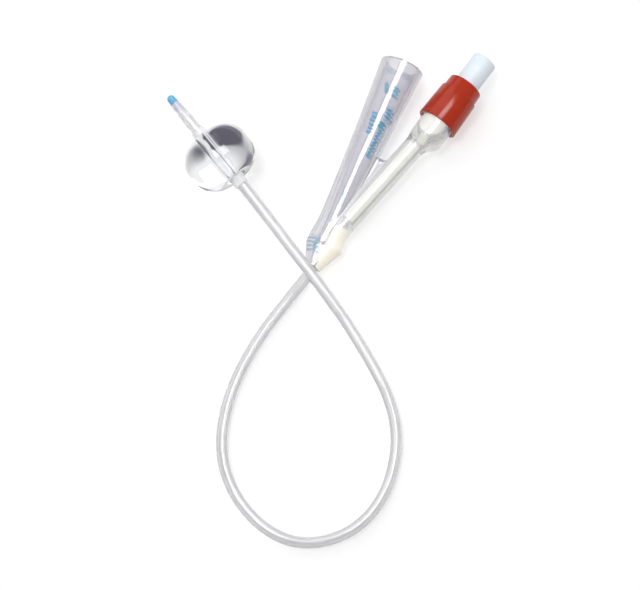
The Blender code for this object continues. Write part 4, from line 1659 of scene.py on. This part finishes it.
@dataclass
class Studio:
    """A pale table, soft light from above and the upper left, and the camera."""

    eye: Point = (0.1254, -0.2964, 0.7564)
    target: Point = (0.02557, -0.05585, 0.0)
    lens: float = 126.05
    sky: float = 0.31
    table_grey: float = 0.80
    table_glow: float = 0.13
    far_glow: float = 0.6
    near_radius: float = 0.13
    far_radius: float = 0.5
    # The painted shadow of the balloon that clear pieces see on the table, and how much of it they see.
    shade: TableShade = TableShade()
    shade_share: float = 0.93
    lamp_target: Point = (0.01, -0.05, 0.0)
    lamps: tuple[Lamp, ...] = (
        Lamp("top_box", (0.15, 0.20, 1.05), 0.43, 6.0, shadow=False),
        Lamp("side_box", (-0.75, 0.45, 0.95), 1.1, 4.6),
        Lamp("front_box", (-0.18, -0.20, 1.05), 0.3, 2.6),
    )

    def build(self) -> None:
        """Sets the camera, the table, the world and the lamps."""
        camera = bpy.data.objects.new("camera", bpy.data.cameras.new("camera"))
        bpy.context.collection.objects.link(camera)
        camera.data.lens = self.lens
        camera.data.sensor_width = 36.0
        camera.data.clip_start = 0.01
        self._aim(camera, self.eye, self.target)
        bpy.context.scene.camera = camera
        bpy.context.scene.view_settings.view_transform = "Standard"
        self._table()
        self._world()
        for lamp in self.lamps:
            self._light(lamp)

    def _aim(self, thing: bpy.types.Object, place: Point, target: Point) -> None:
        """Puts a camera or a lamp at its place and turns it to its target."""
        thing.location = place
        thing.rotation_euler = (Vector(target) - Vector(place)).to_track_quat("-Z", "Y").to_euler()

    def _light(self, lamp: Lamp) -> None:
        """Adds a lamp that is aimed at the catheter.

        Args:
            lamp: The lamp.
        """
        bpy.ops.object.light_add(type="AREA", location=lamp.place)
        box = bpy.context.active_object
        box.name = lamp.name
        box.data.size = lamp.size
        box.data.energy = lamp.watts
        box.data.use_shadow = lamp.shadow
        self._aim(box, lamp.place, self.lamp_target)

    def _table(self) -> None:
        """A wide plain table top, white to the eye, with a painted shadow of the balloon that shows only
        through clear pieces.

        The camera and mirror reflections see a faint glow on it too, which grows with the distance,
        so that it ends in white.
        """
        bpy.ops.object.select_all(action="DESELECT")
        bpy.ops.mesh.primitive_plane_add(size=6.0, location=(0.0, 0.0, -0.1 * MM))
        table = bpy.context.active_object
        table.name = "table"
        made, board = NodeBoard.for_material("table_white")
        grey = (self.table_grey, self.table_grey, self.table_grey, 1.0)
        matt = board.node("ShaderNodeBsdfDiffuse", {}, {"Color": grey})
        seen, mirrored, through = [
            board.node("ShaderNodeLightPath", output=kind)
            for kind in ("Is Camera Ray", "Is Glossy Ray", "Is Transmission Ray")
        ]
        east, north, _ = board.own_axes(Matrix.Translation(self.target))
        far = (east * east + north * north).ramp(self.near_radius**2, self.far_radius**2)
        strength = (self.table_glow + self.far_glow * far) * (seen + mirrored)
        glow = board.node("ShaderNodeEmission", {}, {"Strength": strength})
        lit = board.node("ShaderNodeAddShader", {}, {0: matt, 1: glow})
        # Clear pieces see the table as an even pale glow with the painted shadow of the balloon on it.
        colour = self.shade.colour(board, self.eye)
        shade = board.node("ShaderNodeEmission", {}, {"Color": colour, "Strength": 1.0})
        board.show(board.blend(self.shade_share * through, lit, shade))
        table.data.materials.append(made)

    def _world(self) -> None:
        """An even white sky that the camera sees as plain white."""
        world = bpy.data.worlds.new("studio")
        bpy.context.scene.world = world
        world.use_nodes = True
        board = NodeBoard(world.node_tree)
        seen = board.node("ShaderNodeLightPath", output="Is Camera Ray")
        dim, bright = [
            board.node("ShaderNodeBackground", {}, {"Color": WHITE, "Strength": strength})
            for strength in (self.sky, 1.0)
        ]
        board.node("ShaderNodeOutputWorld", {}, {"Surface": board.blend(seen, dim, bright)})


def main() -> None:
    """Builds the catheter's pieces and the studio."""
    logging.basicConfig(level=logging.INFO)
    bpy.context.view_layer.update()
    Studio().build()
    moulding = YMoulding()
    balloon = BalloonEnd()
    Shaft().build(balloon)
    moulding.build()
    InflationValve(moulding.bulb_place).build()
    balloon.build()


if __name__ == "__main__":
    main()
